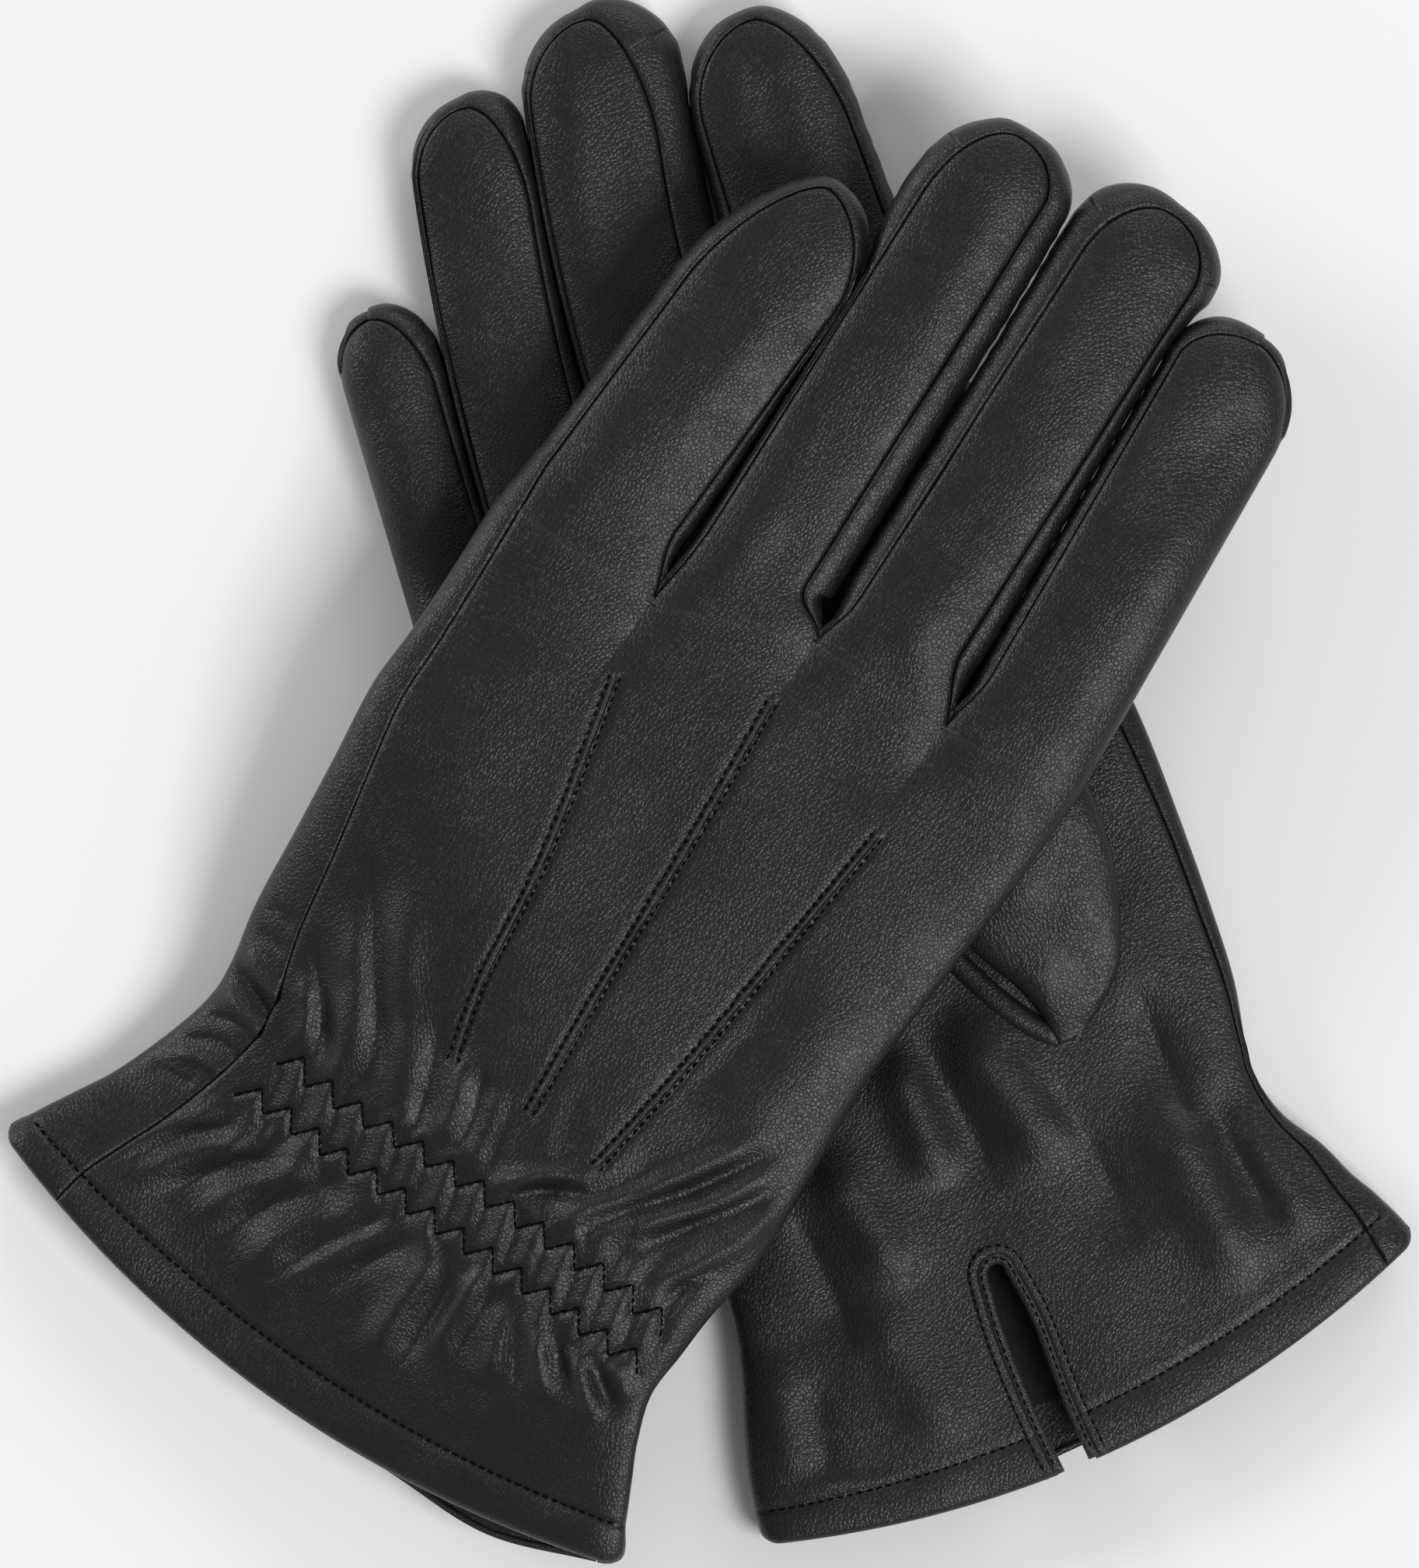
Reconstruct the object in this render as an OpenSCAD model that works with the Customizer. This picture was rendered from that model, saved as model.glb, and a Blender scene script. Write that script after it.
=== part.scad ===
// Pair of lined leather dress gloves, lying crossed: the left glove back up, on the right glove palm up.
// Millimetres, +Z up, origin at the middle of the footprint on the surface that they lie on.

/* [Gloves] */
// Thickness of a lined glove lying flat
glove_h = 11; // [9:0.5:14]
// Thickness of a thumb folded between the two gloves
thumb_h = 8.4; // [7:0.2:10]
// Height of the left glove's underside where it lies on the thumbs
stack_z = 20; // [19:0.5:26]
// How far the left cuff hangs down past the right glove
cuff_drop = 19.7; // [0:0.1:19.7]
// How far the left index fingertip sags past the right glove
tip_drop = 6; // [0:0.5:8]

/* [Leather and lining] */
// Thickness of the leather
leather_t = 1; // [0.7:0.1:1.2]
// Thickness of the turned hem, two layers
hem_t = 1.7; // [1.2:0.1:2.2]
// Thickness of the lining
lining_t = 0.6; // [0.4:0.1:1]
// Thickness of the wrist elastic
elastic_t = 0.35; // [0.2:0.05:0.5]

/* [Sewing] */
// Height of the raised points on the back
point_up = 0.7; // [0.3:0.1:1.2]
// Width of the raised points on the back
point_w = 1.6; // [1:0.1:2.5]
// Width of a row of stitches
stitch_w = 0.8; // [0.5:0.1:1.2]
// Width of the vent slit at the hem
vent_w = 3.4; // [2:0.2:5]
// Width of the binding on each side of the vent
binding_w = 3.2; // [2:0.2:5]

/* [Joints] */
// Gap between two leather edges that move apart
fold_gap = 0.3; // [0.2:0.05:0.6]

/* [Hidden] */
hh = glove_h / 2;
lin_o = leather_t + elastic_t + 0.2;
black = [0.045, 0.045, 0.05];
dark = [0.03, 0.03, 0.033];
brown = [0.07, 0.055, 0.05];

// Each glove: little-finger edge and index edge from the hem to the knuckles, the points where
// the fingers part, and whether its back is up.
left_l = [[-113.7, -56.5], [-109, -53], [-102, -49.4], [-95.3, -45.9], [-86.5, -39.6], [-80.3, -34],
  [-76.8, -28.4], [-72.8, -19], [-66.5, -7.5], [-60.3, 4], [-54, 16], [-47.8, 24.5], [-41.5, 34], [-34, 46]];
left_r = [[-14.9, -125.3], [-13.4, -118.4], [-12.4, -111.5], [-11.5, -105.3], [-9.3, -97.8], [-4.6, -91.5],
  [0.4, -85], [7.9, -76.5], [14.8, -65.3], [24.8, -48.4], [36, -33.4], [48.5, -17.1], [54, -9.3], [59.3, -1.7]];
left_c = [[-34, 46], [-9.5, 28.8], [17, 22.5], [37.3, 8.5], [59.3, -1.7]];
right_l = [[9.1, -122.5], [7, -115.3], [6, -109], [5.5, -102.8], [5.1, -95.9], [4.1, -88.4],
  [2.3, -82.1], [-2.4, -71.5], [-7.8, -60.3], [-14, -48.4], [-20.9, -35.3], [-27.8, -22.1], [-34.6, -9],
  [-41.5, 5.4]];
right_r = [[113.7, -73.4], [107.9, -66.5], [103.5, -62.8], [98.5, -57.8], [92.3, -53.1], [87.9, -47.1],
  [86.4, -42.1], [84.5, -31.5], [81, -20.3], [76.6, -7.8], [70.4, 8.5], [63.5, 23.5], [56.3, 38.5],
  [48.5, 54.1]];
right_c = [[-41.5, 5.4], [-27.8, 14.8], [-8.6, 29.8], [18.5, 41], [48.5, 54.1]];

// Fingers: base, tip, bow, half width at base and near the tip, sideways swell of the two sides, fold distance.
left_f = [
  [[-22.5, 38.2], [20.2, 96.4], 0, 13, 11.6, [0, 0.4], 12.5],
  [[1.6, 26.4], [50.8, 104.6], 0, 9.4, 9, [0.4, 1.9], 12.5],
  [[26, 16.2], [74.8, 92.6], 0, 10, 9.8, [1.9, 1.1], 12.5],
  [[48.6, 2], [88.9, 71.6], 0, 11.1, 10.6, [1.1, 0], 12.5]];
right_f = [
  [[-35, 8.6], [-55, 76.2], 0, 7.5, 7.2, [0, 0.8], 40.5],
  [[-18.6, 22], [-39.6, 110.4], -2.8, 9.4, 8.4, [0.5, 1.3], 46.5],
  [[1, 36.6], [-20.2, 124.6], -3.4, 10.2, 9.8, [0.9, 2.2], 53.5],
  [[33.3, 48.5], [5.8, 124.4], -0.8, 14.4, 11.2, [1.1, 0], 54]];

left = [left_l, left_r, left_c, left_f, 1];
right = [right_l, right_r, right_c, right_f, -1];

function mix(a, b, t) = a + (b - a) * t;
function clamp01(t) = min(1, max(0, t));
function sstep(t) = let (k = clamp01(t)) k * k * (3 - 2 * k);
function prof(x, p) = pow(max(0, 1 - pow(min(1, abs(x)), p)), 1 / p);
function at(list, v) = let (i = min(len(list) - 2, max(0, floor(v)))) mix(list[i], list[i + 1], v - i);
function unit(v) = v / norm(v);
function side_of(d) = [d[1], -d[0]];

// Height of a glove's middle layer at a point of the plan. The left glove lies over the right one.
function past_edge(p) = ((p[0] - 7.3) * -0.937 + (p[1] + 121.5) * -0.350);
function past_index(p) = ((p[0] - 31) * 0.912 + (p[1] - 97.9) * 0.411);
function lie(g, p) = g[4] < 0 ? hh
  : hh + stack_z - cuff_drop * sstep(past_edge(p) / 72) - tip_drop * sstep((past_index(p) - 6) / 45);

function vwidth(g, v) = norm(at(g[1], v) - at(g[0], v));
function crotch(g, u) = at(g[2], u * 4);
function bow(v) = v < 8 ? 10 * pow(1 - v / 8, 2) : 0;
function knuckle(v) = sstep((v - 9) / 4);
function hand_xy(g, v, u, lat) = let (a = at(g[0], v), b = at(g[1], v), d = unit(b - a))
  mix(a, b, u) + side_of(d) * bow(v) * 4 * u * (1 - u) + d * lat
  + knuckle(v) * (crotch(g, u) - mix(g[2][0], g[2][4], u));
function edge_fall(f, x) = let (round_side = (f == 0 && x < 0) || (f == 3 && x > 0))
  prof(x * (round_side ? 1 : 0.8), 2.6);
function hand_pt(g, v, f, x, side, o) = let (u = (f + (x + 1) / 2) / 4, q = 2 * u - 1,
  p = hand_xy(g, v, u, -q * o), k = mix(prof(q, 5), edge_fall(f, x), knuckle(v)))
  [p[0], p[1], lie(g, p) + g[4] * side * (hh - o) * k];

function flen(q) = norm(q[1] - q[0]);
function tip_run(q) = q[4] * 1.05;
function half_w(q, s) = let (l = flen(q), w = mix(q[3], q[4], clamp01(s / l)), t = clamp01((s - l + tip_run(q)) / tip_run(q)))
  w * max(0.3, pow(1 - pow(t, 2.4), 1 / 2.4));
function half_h(q, s) = let (t = clamp01((s - flen(q) + 13) / 13), e = leather_t + 0.06)
  e + (hh - e) * sqrt(1 - t * t);
function finger_xy(g, f, s, x, lat) = let (q = g[3][f], l = flen(q), d = unit(q[1] - q[0]), n = side_of(d),
  c = q[0] + d * s + n * q[2] * 4 * (s / l) * (1 - s / l),
  root = mix(g[2][f], g[2][f + 1], (x + 1) / 2) + d * s)
  mix(root, c + n * x * half_w(q, s), sstep(s / 12)) + n * lat;
function finger_pt(g, f, s, x, side, o) = let (q = g[3][f], p = finger_xy(g, f, s, x, -x * min(o, half_w(q, s) - 0.6)),
  z = max(0.03, half_h(q, s) - o))
  [p[0], p[1], lie(g, p) + g[4] * side * z * edge_fall(f, x)];

// Where the seams run. The palm wraps round the little-finger edge on to the back, and the back wraps
// round the index edge on to the palm.
function wrap_hand(g, v) = -1 + 8 * mix(13, 3.4, clamp01(v / 13)) / vwidth(g, v);
function wrap_finger(g, s) = -1 + 3 / g[3][0][3];
function wrap_at(g, row) = row[0] == 0 ? wrap_hand(g, row[1]) : mix(wrap_hand(g, 13), wrap_finger(g, row[1]), clamp01(row[1] / 10));

// A panel column is [finger, place across, side, kind]: kind 1 is measured from the little-finger seam
// towards the next finger, kind 2 from the edge to that seam.
back_cols = [[0, 0, 1, 1], [0, 0.3, 1, 1], [0, 0.7, 1, 1], [0, 1, 1, 1],
  [1, -0.5, 1, 0], [1, 0, 1, 0], [1, 0.5, 1, 0], [1, 1, 1, 0],
  [2, -0.5, 1, 0], [2, 0, 1, 0], [2, 0.5, 1, 0], [2, 1, 1, 0],
  [3, -0.5, 1, 0], [3, 0, 1, 0], [3, 0.6, 1, 0], [3, 0.9, 1, 0], [3, 1, 1, 0], [3, 0.93, -1, 0], [3, 0.8, -1, 0]];
back_split = [0, 3, 7, 11, 18];
palm_cols = [[0, 1, 1, 2], [0, 0.5, 1, 2], [0, 0.15, 1, 2], [0, -1, -1, 0], [0, -0.9, -1, 0], [0, -0.6, -1, 0],
  [0, 0, -1, 0], [0, 0.5, -1, 0], [0, 1, -1, 0],
  [1, -0.5, -1, 0], [1, 0, -1, 0], [1, 0.44, -1, 0], [1, 0.68, -1, 0], [1, 1, -1, 0],
  [2, -0.5, -1, 0], [2, 0, -1, 0], [2, 0.5, -1, 0], [2, 1, -1, 0],
  [3, -0.5, -1, 0], [3, 0, -1, 0], [3, 0.5, -1, 0], [3, 0.8, -1, 0]];
palm_split = [0, 8, 13, 17, 21];
function across(g, row, c) = c[3] == 1 ? mix(wrap_at(g, row), 1, c[1])
  : c[3] == 2 ? mix(-1, wrap_at(g, row), c[1]) : c[1];
vent_col = 11;
vent_rows = 4;
// The vent's two edges are columns of the palm, so they are drawn together to the slit's width.
function slit_x(g, v, x) = let (mid = mix(0.55, 0.72, clamp01(v / 4)), half = mix(vent_w, 1.2, clamp01(v / vent_rows)) / vwidth(g, v) * 4)
  x < 0.5 ? mid - half : mid + half;
function hand_x(g, v, c) = c[0] == 1 && c[2] < 0 && c[1] > 0.4 && c[1] < 0.7
  ? mix(slit_x(g, v, c[1]), c[1], clamp01((v - 4) / 5)) : across(g, [0, v], c);

hand_rows = [0, 1, 2, 3, 4, 5, 6, 7, 8, 9, 10, 11, 12, 13];
function edge_o(v) = v < 1.01 ? hem_t : leather_t;
function hand_side(g, cols, inner) = [for (v = hand_rows) for (c = cols)
  hand_pt(g, v, c[0], hand_x(g, v, c), c[2], inner ? edge_o(v) : 0)];
function stub_rows(g, f) = let (e = g[3][f][6] - fold_gap / 2) e < 16 ? [e / 3, e * 2 / 3, e] : [for (k = [1:6]) e * k / 6];
function stub_side(g, cols, split, f, inner) = [for (s = stub_rows(g, f)) for (j = [split[f]:split[f + 1]])
  let (c = j == split[f] && f > 0 ? [f, -1, cols[j][2], 0] : cols[j])
  finger_pt(g, f, s, across(g, [1, s], c), c[2], inner ? leather_t : 0)];
function sum_to(l, n) = n == 0 ? 0 : l[n - 1] + sum_to(l, n - 1);

// A solid from an outer grid, an inner grid of the same layout, its four-sided cells and its rim.
module skin(outer, inner, cells, rim, flip) {
  n = len(outer);
  up = [for (c = cells) each [[c[0], c[1], c[2]], [c[0], c[2], c[3]]]];
  m = len(rim);
  wall = [for (k = [0:m - 1]) let (a = rim[k], b = rim[(k + 1) % m]) each [[a, b + n, b], [a, a + n, b + n]]];
  all = concat(up, [for (t = up) [t[2] + n, t[1] + n, t[0] + n]], wall);
  polyhedron(points = concat(outer, inner), faces = flip ? all : [for (t = all) [t[2], t[1], t[0]]]);
}

module hand_panel(g, cols, split, slit, flip) {
  nc = len(cols) - 1;
  nr = len(hand_rows) - 1;
  rows = [for (f = [0:3]) len(stub_rows(g, f))];
  wide = [for (f = [0:3]) split[f + 1] - split[f] + 1];
  base = [for (f = [0:3]) (nr + 1) * (nc + 1) + sum_to([for (k = [0:3]) rows[k] * wide[k]], f)];
  function h(i, j) = i * (nc + 1) + j;
  function q(f, k, j) = k == 0 ? h(nr, j) : base[f] + (k - 1) * wide[f] + j - split[f];
  outer = concat(hand_side(g, cols, false), [for (f = [0:3]) each stub_side(g, cols, split, f, false)]);
  inner = concat(hand_side(g, cols, true), [for (f = [0:3]) each stub_side(g, cols, split, f, true)]);
  cells = concat(
    [for (i = [0:nr - 1]) for (j = [0:nc - 1]) if (!(slit && i < vent_rows && j == vent_col))
      [h(i, j), h(i, j + 1), h(i + 1, j + 1), h(i + 1, j)]],
    [for (f = [0:3]) for (k = [0:rows[f] - 1]) for (j = [split[f]:split[f + 1] - 1])
      [q(f, k, j), q(f, k, j + 1), q(f, k + 1, j + 1), q(f, k + 1, j)]]);
  hem = slit ? concat([for (j = [0:vent_col]) h(0, j)], [for (i = [1:vent_rows]) h(i, vent_col)],
    [for (i = [vent_rows:-1:1]) h(i, vent_col + 1)], [for (j = [vent_col + 1:nc]) h(0, j)])
    : [for (j = [0:nc]) h(0, j)];
  rim = concat(hem, [for (i = [1:nr]) h(i, nc)],
    [for (f = [3:-1:0]) each concat([for (k = [1:rows[f]]) q(f, k, split[f + 1])],
      [for (j = [split[f + 1] - 1:-1:split[f]]) q(f, rows[f], j)],
      [for (k = [rows[f] - 1:-1:0]) q(f, k, split[f])])],
    [for (i = [nr - 1:-1:1]) h(i, 0)]);
  skin(outer, inner, cells, rim, flip);
}

// A plain rectangular grid of rows as a solid.
module sheet(outer, inner, flip) {
  nr = len(outer) - 1;
  nc = len(outer[0]) - 1;
  function h(i, j) = i * (nc + 1) + j;
  cells = [for (i = [0:nr - 1]) for (j = [0:nc - 1]) [h(i, j), h(i, j + 1), h(i + 1, j + 1), h(i + 1, j)]];
  rim = concat([for (j = [0:nc]) h(0, j)], [for (i = [1:nr]) h(i, nc)], [for (j = [nc - 1:-1:0]) h(nr, j)],
    [for (i = [nr - 1:-1:1]) h(i, 0)]);
  skin([for (r = outer) each r], [for (r = inner) each r], cells, rim, flip);
}

end_steps = [0, 0.22, 0.42, 0.6, 0.74, 0.85, 0.93, 0.98, 1];
function end_rows(g, f) = let (q = g[3][f], a = q[6] + fold_gap / 2) [for (t = end_steps) mix(a, flen(q), t)];

module finger_cover(g, cols, split, f, flip) {
  function row(s, o) = [for (j = [split[f]:split[f + 1]])
    let (c = j == split[f] && f > 0 ? [f, -1, cols[j][2], 0] : cols[j])
    finger_pt(g, f, s, across(g, [1, s], c), c[2], o)];
  sheet([for (s = end_rows(g, f)) row(s, 0)], [for (s = end_rows(g, f)) row(s, leather_t)], flip);
}

// One side strip of a finger between two distances: r is -1 on the little-finger side, 1 on the other.
wall_steps = [[0, 1], [0.8, 0.6], [1, 0], [0.8, -0.6], [0, -1]];
module side_strip(g, f, r, rows) {
  q = g[3][f];
  swell = q[5][r < 0 ? 0 : 1];
  function pt(s, w, o) = let (b = swell * sstep((s - 1) / 9) * clamp01((flen(q) - s) / 12),
    lim = min(o, half_w(q, s) - 0.6),
    p = finger_xy(g, f, s, r, r * (b * w[0] - lim)), z = max(0.03, half_h(q, s) - o) * 0.7294)
    [p[0], p[1], lie(g, p) + g[4] * z * w[1]];
  sheet([for (s = rows) [for (w = wall_steps) pt(s, w, 0)]],
    [for (s = rows) [for (w = wall_steps) pt(s, w, leather_t)]], g[4] * r < 0);
}
function sides_of(f) = f == 0 ? [1] : f == 3 ? [-1] : [-1, 1];
module finger_sides(g, f) {
  rows = [for (s = end_rows(g, f)) if (s < flen(g[3][f]) - 0.1) s];
  for (r = sides_of(f)) side_strip(g, f, r, rows);
}
module crotch_sides(g) {
  for (f = [0:3])
    for (r = sides_of(f)) side_strip(g, f, r, concat([1.2], stub_rows(g, f)));
}

// A tube of rings, shut at its far end unless it is open.
module tube(outer, inner, shut) {
  nr = len(outer) - 1;
  nc = len(outer[0]);
  n = (nr + 1) * nc;
  function h(i, j) = i * nc + (j % nc);
  body = [for (i = [0:nr - 1]) for (j = [0:nc - 1]) each
    [[h(i, j), h(i, j + 1), h(i + 1, j + 1)], [h(i, j), h(i + 1, j + 1), h(i + 1, j)]]];
  hole = [for (t = body) [t[2] + n, t[1] + n, t[0] + n]];
  mouth = [for (j = [0:nc - 1]) each [[h(0, j), h(0, j + 1) + n, h(0, j + 1)], [h(0, j), h(0, j) + n, h(0, j + 1) + n]]];
  rim = [for (j = [0:nc - 1]) each
    [[h(nr, j), h(nr, j + 1), h(nr, j + 1) + n], [h(nr, j), h(nr, j + 1) + n, h(nr, j) + n]]];
  cap = [for (j = [1:nc - 2]) each [[h(nr, 0), h(nr, j), h(nr, j + 1)], [h(nr, j + 1) + n, h(nr, j) + n, h(nr, 0) + n]]];
  all = concat(body, hole, mouth, shut ? cap : rim);
  polyhedron(points = concat([for (r = outer) each r], [for (r = inner) each r]),
    faces = all);
}
function pw(c, p) = sign(c) * pow(abs(c), 2 / p);
ring12 = [for (k = [0:11]) k * 30 + 15];
ring8 = [20, 65, 115, 160, 200, 245, 295, 340];

module finger_lining(g, f, s0, s1, shut) {
  q = g[3][f];
  function ring(s, o) = [for (a = ring8) let (w = max(0.8, half_w(q, s) - o), p = finger_xy(g, f, s, 0, w * pw(cos(a), 2.6)),
    z = max(0.35, half_h(q, s) - o)) [p[0], p[1], lie(g, p) + z * pw(sin(a), 2.6)]];
  rows = [for (t = shut ? [0, 0.3, 0.55, 0.75, 0.9, 1] : [0, 0.5, 1]) mix(s0, s1, t)];
  outer = [for (s = rows) ring(s, lin_o)];
  inner = [for (s = rows) ring(min(s, s1 - (shut ? lining_t : 0)), lin_o + lining_t)];
  tube(outer, inner, shut);
}

lining_rows = [1.25, 2, 3, 4, 5, 6, 7, 8, 9, 10, 11, 12, 13];
lining_cols = concat([for (j = [16:-1:0]) back_cols[j]], [palm_cols[1], palm_cols[2]], [for (j = [3:21]) palm_cols[j]],
  [back_cols[17]]);
module hand_lining(g) {
  n = len(lining_cols) - 1;
  cols = g[4] > 0 ? lining_cols : [for (k = [0:n]) lining_cols[n - k]];
  function ring(v, o) = [for (c = cols) hand_pt(g, v, c[0], hand_x(g, v, c), c[2], o)];
  tube([for (v = lining_rows) ring(v, lin_o)], [for (v = lining_rows) ring(v, lin_o + lining_t)], false);
  for (f = [0:3])
    if (g[3][f][6] > 16) finger_lining(g, f, 6, g[3][f][6] - fold_gap / 2, false);
}

// A bar laid along places on a glove, sunk a little into the leather. Places are points with heights.
module bar(path, w, up, down) {
  n = len(path);
  function dir(k) = unit([for (c = [0, 1]) path[min(n - 1, k + 1)][c] - path[max(0, k - 1)][c]]);
  function ring(k) = let (s = side_of(dir(k)) * w / 2, p = path[k])
    [[p[0] - s[0], p[1] - s[1], p[2] - down], [p[0] + s[0], p[1] + s[1], p[2] - down],
    [p[0] + s[0] * 0.7, p[1] + s[1] * 0.7, p[2] + up], [p[0] - s[0] * 0.7, p[1] - s[1] * 0.7, p[2] + up]];
  pts = [for (k = [0:n - 1]) each ring(k)];
  m = (n - 1) * 4;
  faces = concat([[0, 1, 2], [0, 2, 3]], [[m + 2, m + 1, m], [m + 3, m + 2, m]],
    [for (k = [0:n - 2]) for (j = [0:3]) let (a = k * 4 + j, b = k * 4 + (j + 1) % 4) each [[a, a + 4, b + 4], [a, b + 4, b]]]);
  polyhedron(points = pts, faces = [for (t = faces) [t[2], t[1], t[0]]]);
}
function on_hand(g, v, u, side) = let (f = min(3, floor(u * 4)), x = (u * 4 - f) * 2 - 1) hand_pt(g, v, f, x, side, 0);
// Stitches on the side that lies on the table are pressed flush.
function bar_up(g, side, t) = g[4] * side > 0 ? t : 0.5;
function bar_down(g, side, t) = g[4] * side > 0 ? 0.5 : 0.02;

point_lines = [[[11.4, 0.3], [6.9, 0.395]], [[11.7, 0.51], [6.9, 0.54]], [[10.9, 0.78], [6.7, 0.67]]];
module points(g) {
  for (l = point_lines)
    bar([for (k = [0:10]) let (p = mix(l[0], l[1], k / 10)) on_hand(g, p[0], p[1], 1)], point_w, bar_up(g, 1, point_up), bar_down(g, 1, 0.5));
}
module shirring_stitches(g) {
  for (v = [4.35, 5.15])
    bar([for (k = [0:32]) on_hand(g, v + (k % 2 == 0 ? 0.22 : -0.22), mix(0.13, 0.97, k / 32), 1)], stitch_w,
      bar_up(g, 1, 0.35), bar_down(g, 1, 0.5));
}
module hem_stitches(g) {
  bar([for (k = [0:18]) on_hand(g, 0.95, mix(0.02, 0.97, k / 18), 1)], stitch_w, bar_up(g, 1, 0.3), bar_down(g, 1, 0.5));
  bar([for (k = [0:8]) on_hand(g, 0.95, mix(0.03, 0.41, k / 8), -1)], stitch_w, bar_up(g, -1, 0.3), bar_down(g, -1, 0.5));
  bar([for (k = [0:9]) on_hand(g, 0.95, mix(0.48, 0.96, k / 9), -1)], stitch_w, bar_up(g, -1, 0.3), bar_down(g, -1, 0.5));
}
module vent_binding(g) {
  function leg(v, r) = let (w = vwidth(g, v), mid = (1 + (mix(0.55, 0.72, clamp01(v / 4)) + 1) / 2) / 4,
    off = (mix(vent_w, 1.2, clamp01(v / 4)) / 2 + binding_w / 2) / w) on_hand(g, v, mid + r * off, -1);
  top = on_hand(g, 4.2, (1 + 1.72 / 2) / 4, -1);
  bar(concat([for (v = [0, 0.8, 1.6, 2.4, 3.2, 3.9]) leg(v, -1)], [top], [for (v = [3.9, 3.2, 2.4, 1.6, 0.8, 0]) leg(v, 1)]),
    binding_w, bar_up(g, -1, 0.6), bar_down(g, -1, 0.4));
}
elastic_rows = [4, 5, 5.5];
module wrist_elastic(g) {
  function row(v, o) = [for (j = [1:14]) hand_pt(g, v, back_cols[j][0], hand_x(g, v, back_cols[j]), 1, o)];
  sheet([for (v = elastic_rows) row(v, leather_t + 0.1)], [for (v = elastic_rows) row(v, leather_t + 0.1 + elastic_t)], g[4] < 0);
}

// Thumbs: base, tip, half width. They lie between the two gloves.
thumb_l = [[3.5, -41.5], [11.6, 39.8], 11];
thumb_r = [[55.8, -40.9], [36.9, 41.9], 11.8];
thumb_z = (glove_h + stack_z) / 2;
thumb_steps = [0, 0.06, 0.14, 0.3, 0.5, 0.68, 0.8, 0.89, 0.95, 0.985, 1];
function thumb_w(t, l, s) = t[2] * (s < 14 ? mix(0.66, 1, sin(90 * s / 14)) : 1)
  * max(0.3, pow(1 - pow(clamp01((s - l + 13) / 13), 2.4), 1 / 2.4)) * mix(1, 0.92, s / l);
module thumb_tube(t, o, thick, s0) {
  l = norm(t[1] - t[0]);
  d = unit(t[1] - t[0]);
  n = side_of(d);
  function ring(s, k) = let (w = max(1, thumb_w(t, l, s) - k), e = clamp01((s - l + 11) / 11),
    z = max(0.5, thumb_h / 2 * sqrt(1 - 0.86 * e * e) * mix(0.8, 1, clamp01(s / 10)) - k))
    [for (a = ring12) let (p = t[0] + d * s + n * w * pw(cos(a), 2.6)) [p[0], p[1], thumb_z + z * pw(sin(a), 2.6)]];
  rows = [for (x = thumb_steps) mix(s0, l - o, x)];
  tube([for (s = rows) ring(s, o)], [for (s = rows) ring(min(s, l - o - thick), o + thick)], true);
}

module left_back_panel() {
  color(black)
    hand_panel(left, back_cols, back_split, false, false);
}
module left_palm_panel() {
  color(black)
    hand_panel(left, palm_cols, palm_split, true, true);
}
module left_fourchettes() {
  color(black)
    crotch_sides(left);
}
module left_hand_lining() {
  color(brown)
    hand_lining(left);
}
module left_wrist_elastic() {
  color(brown)
    wrist_elastic(left);
}
module left_vent_binding() {
  color(dark)
    vent_binding(left);
}
module left_points() {
  color(dark)
    points(left);
}
module left_shirring_stitches() {
  color(dark)
    shirring_stitches(left);
}
module left_hem_stitches() {
  color(dark)
    hem_stitches(left);
}
module left_thumb_leather() {
  color(black)
    thumb_tube(thumb_l, 0, leather_t, 0);
}
module left_thumb_lining() {
  color(brown)
    thumb_tube(thumb_l, leather_t + 0.2, 0.5, 0.5);
}
module left_little_back() {
  color(black)
    finger_cover(left, back_cols, back_split, 0, false);
}
module left_little_palm() {
  color(black)
    finger_cover(left, palm_cols, palm_split, 0, true);
}
module left_little_sides() {
  color(black)
    finger_sides(left, 0);
}
module left_little_lining() {
  color(brown)
    finger_lining(left, 0, left[3][0][6] + fold_gap / 2, flen(left[3][0]) - 3.2, true);
}
module left_ring_back() {
  color(black)
    finger_cover(left, back_cols, back_split, 1, false);
}
module left_ring_palm() {
  color(black)
    finger_cover(left, palm_cols, palm_split, 1, true);
}
module left_ring_sides() {
  color(black)
    finger_sides(left, 1);
}
module left_ring_lining() {
  color(brown)
    finger_lining(left, 1, left[3][1][6] + fold_gap / 2, flen(left[3][1]) - 3.2, true);
}
module left_middle_back() {
  color(black)
    finger_cover(left, back_cols, back_split, 2, false);
}
module left_middle_palm() {
  color(black)
    finger_cover(left, palm_cols, palm_split, 2, true);
}
module left_middle_sides() {
  color(black)
    finger_sides(left, 2);
}
module left_middle_lining() {
  color(brown)
    finger_lining(left, 2, left[3][2][6] + fold_gap / 2, flen(left[3][2]) - 3.2, true);
}
module left_index_back() {
  color(black)
    finger_cover(left, back_cols, back_split, 3, false);
}
module left_index_palm() {
  color(black)
    finger_cover(left, palm_cols, palm_split, 3, true);
}
module left_index_sides() {
  color(black)
    finger_sides(left, 3);
}
module left_index_lining() {
  color(brown)
    finger_lining(left, 3, left[3][3][6] + fold_gap / 2, flen(left[3][3]) - 3.2, true);
}
module right_back_panel() {
  color(black)
    hand_panel(right, back_cols, back_split, false, true);
}
module right_palm_panel() {
  color(black)
    hand_panel(right, palm_cols, palm_split, true, false);
}
module right_fourchettes() {
  color(black)
    crotch_sides(right);
}
module right_hand_lining() {
  color(brown)
    hand_lining(right);
}
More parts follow.
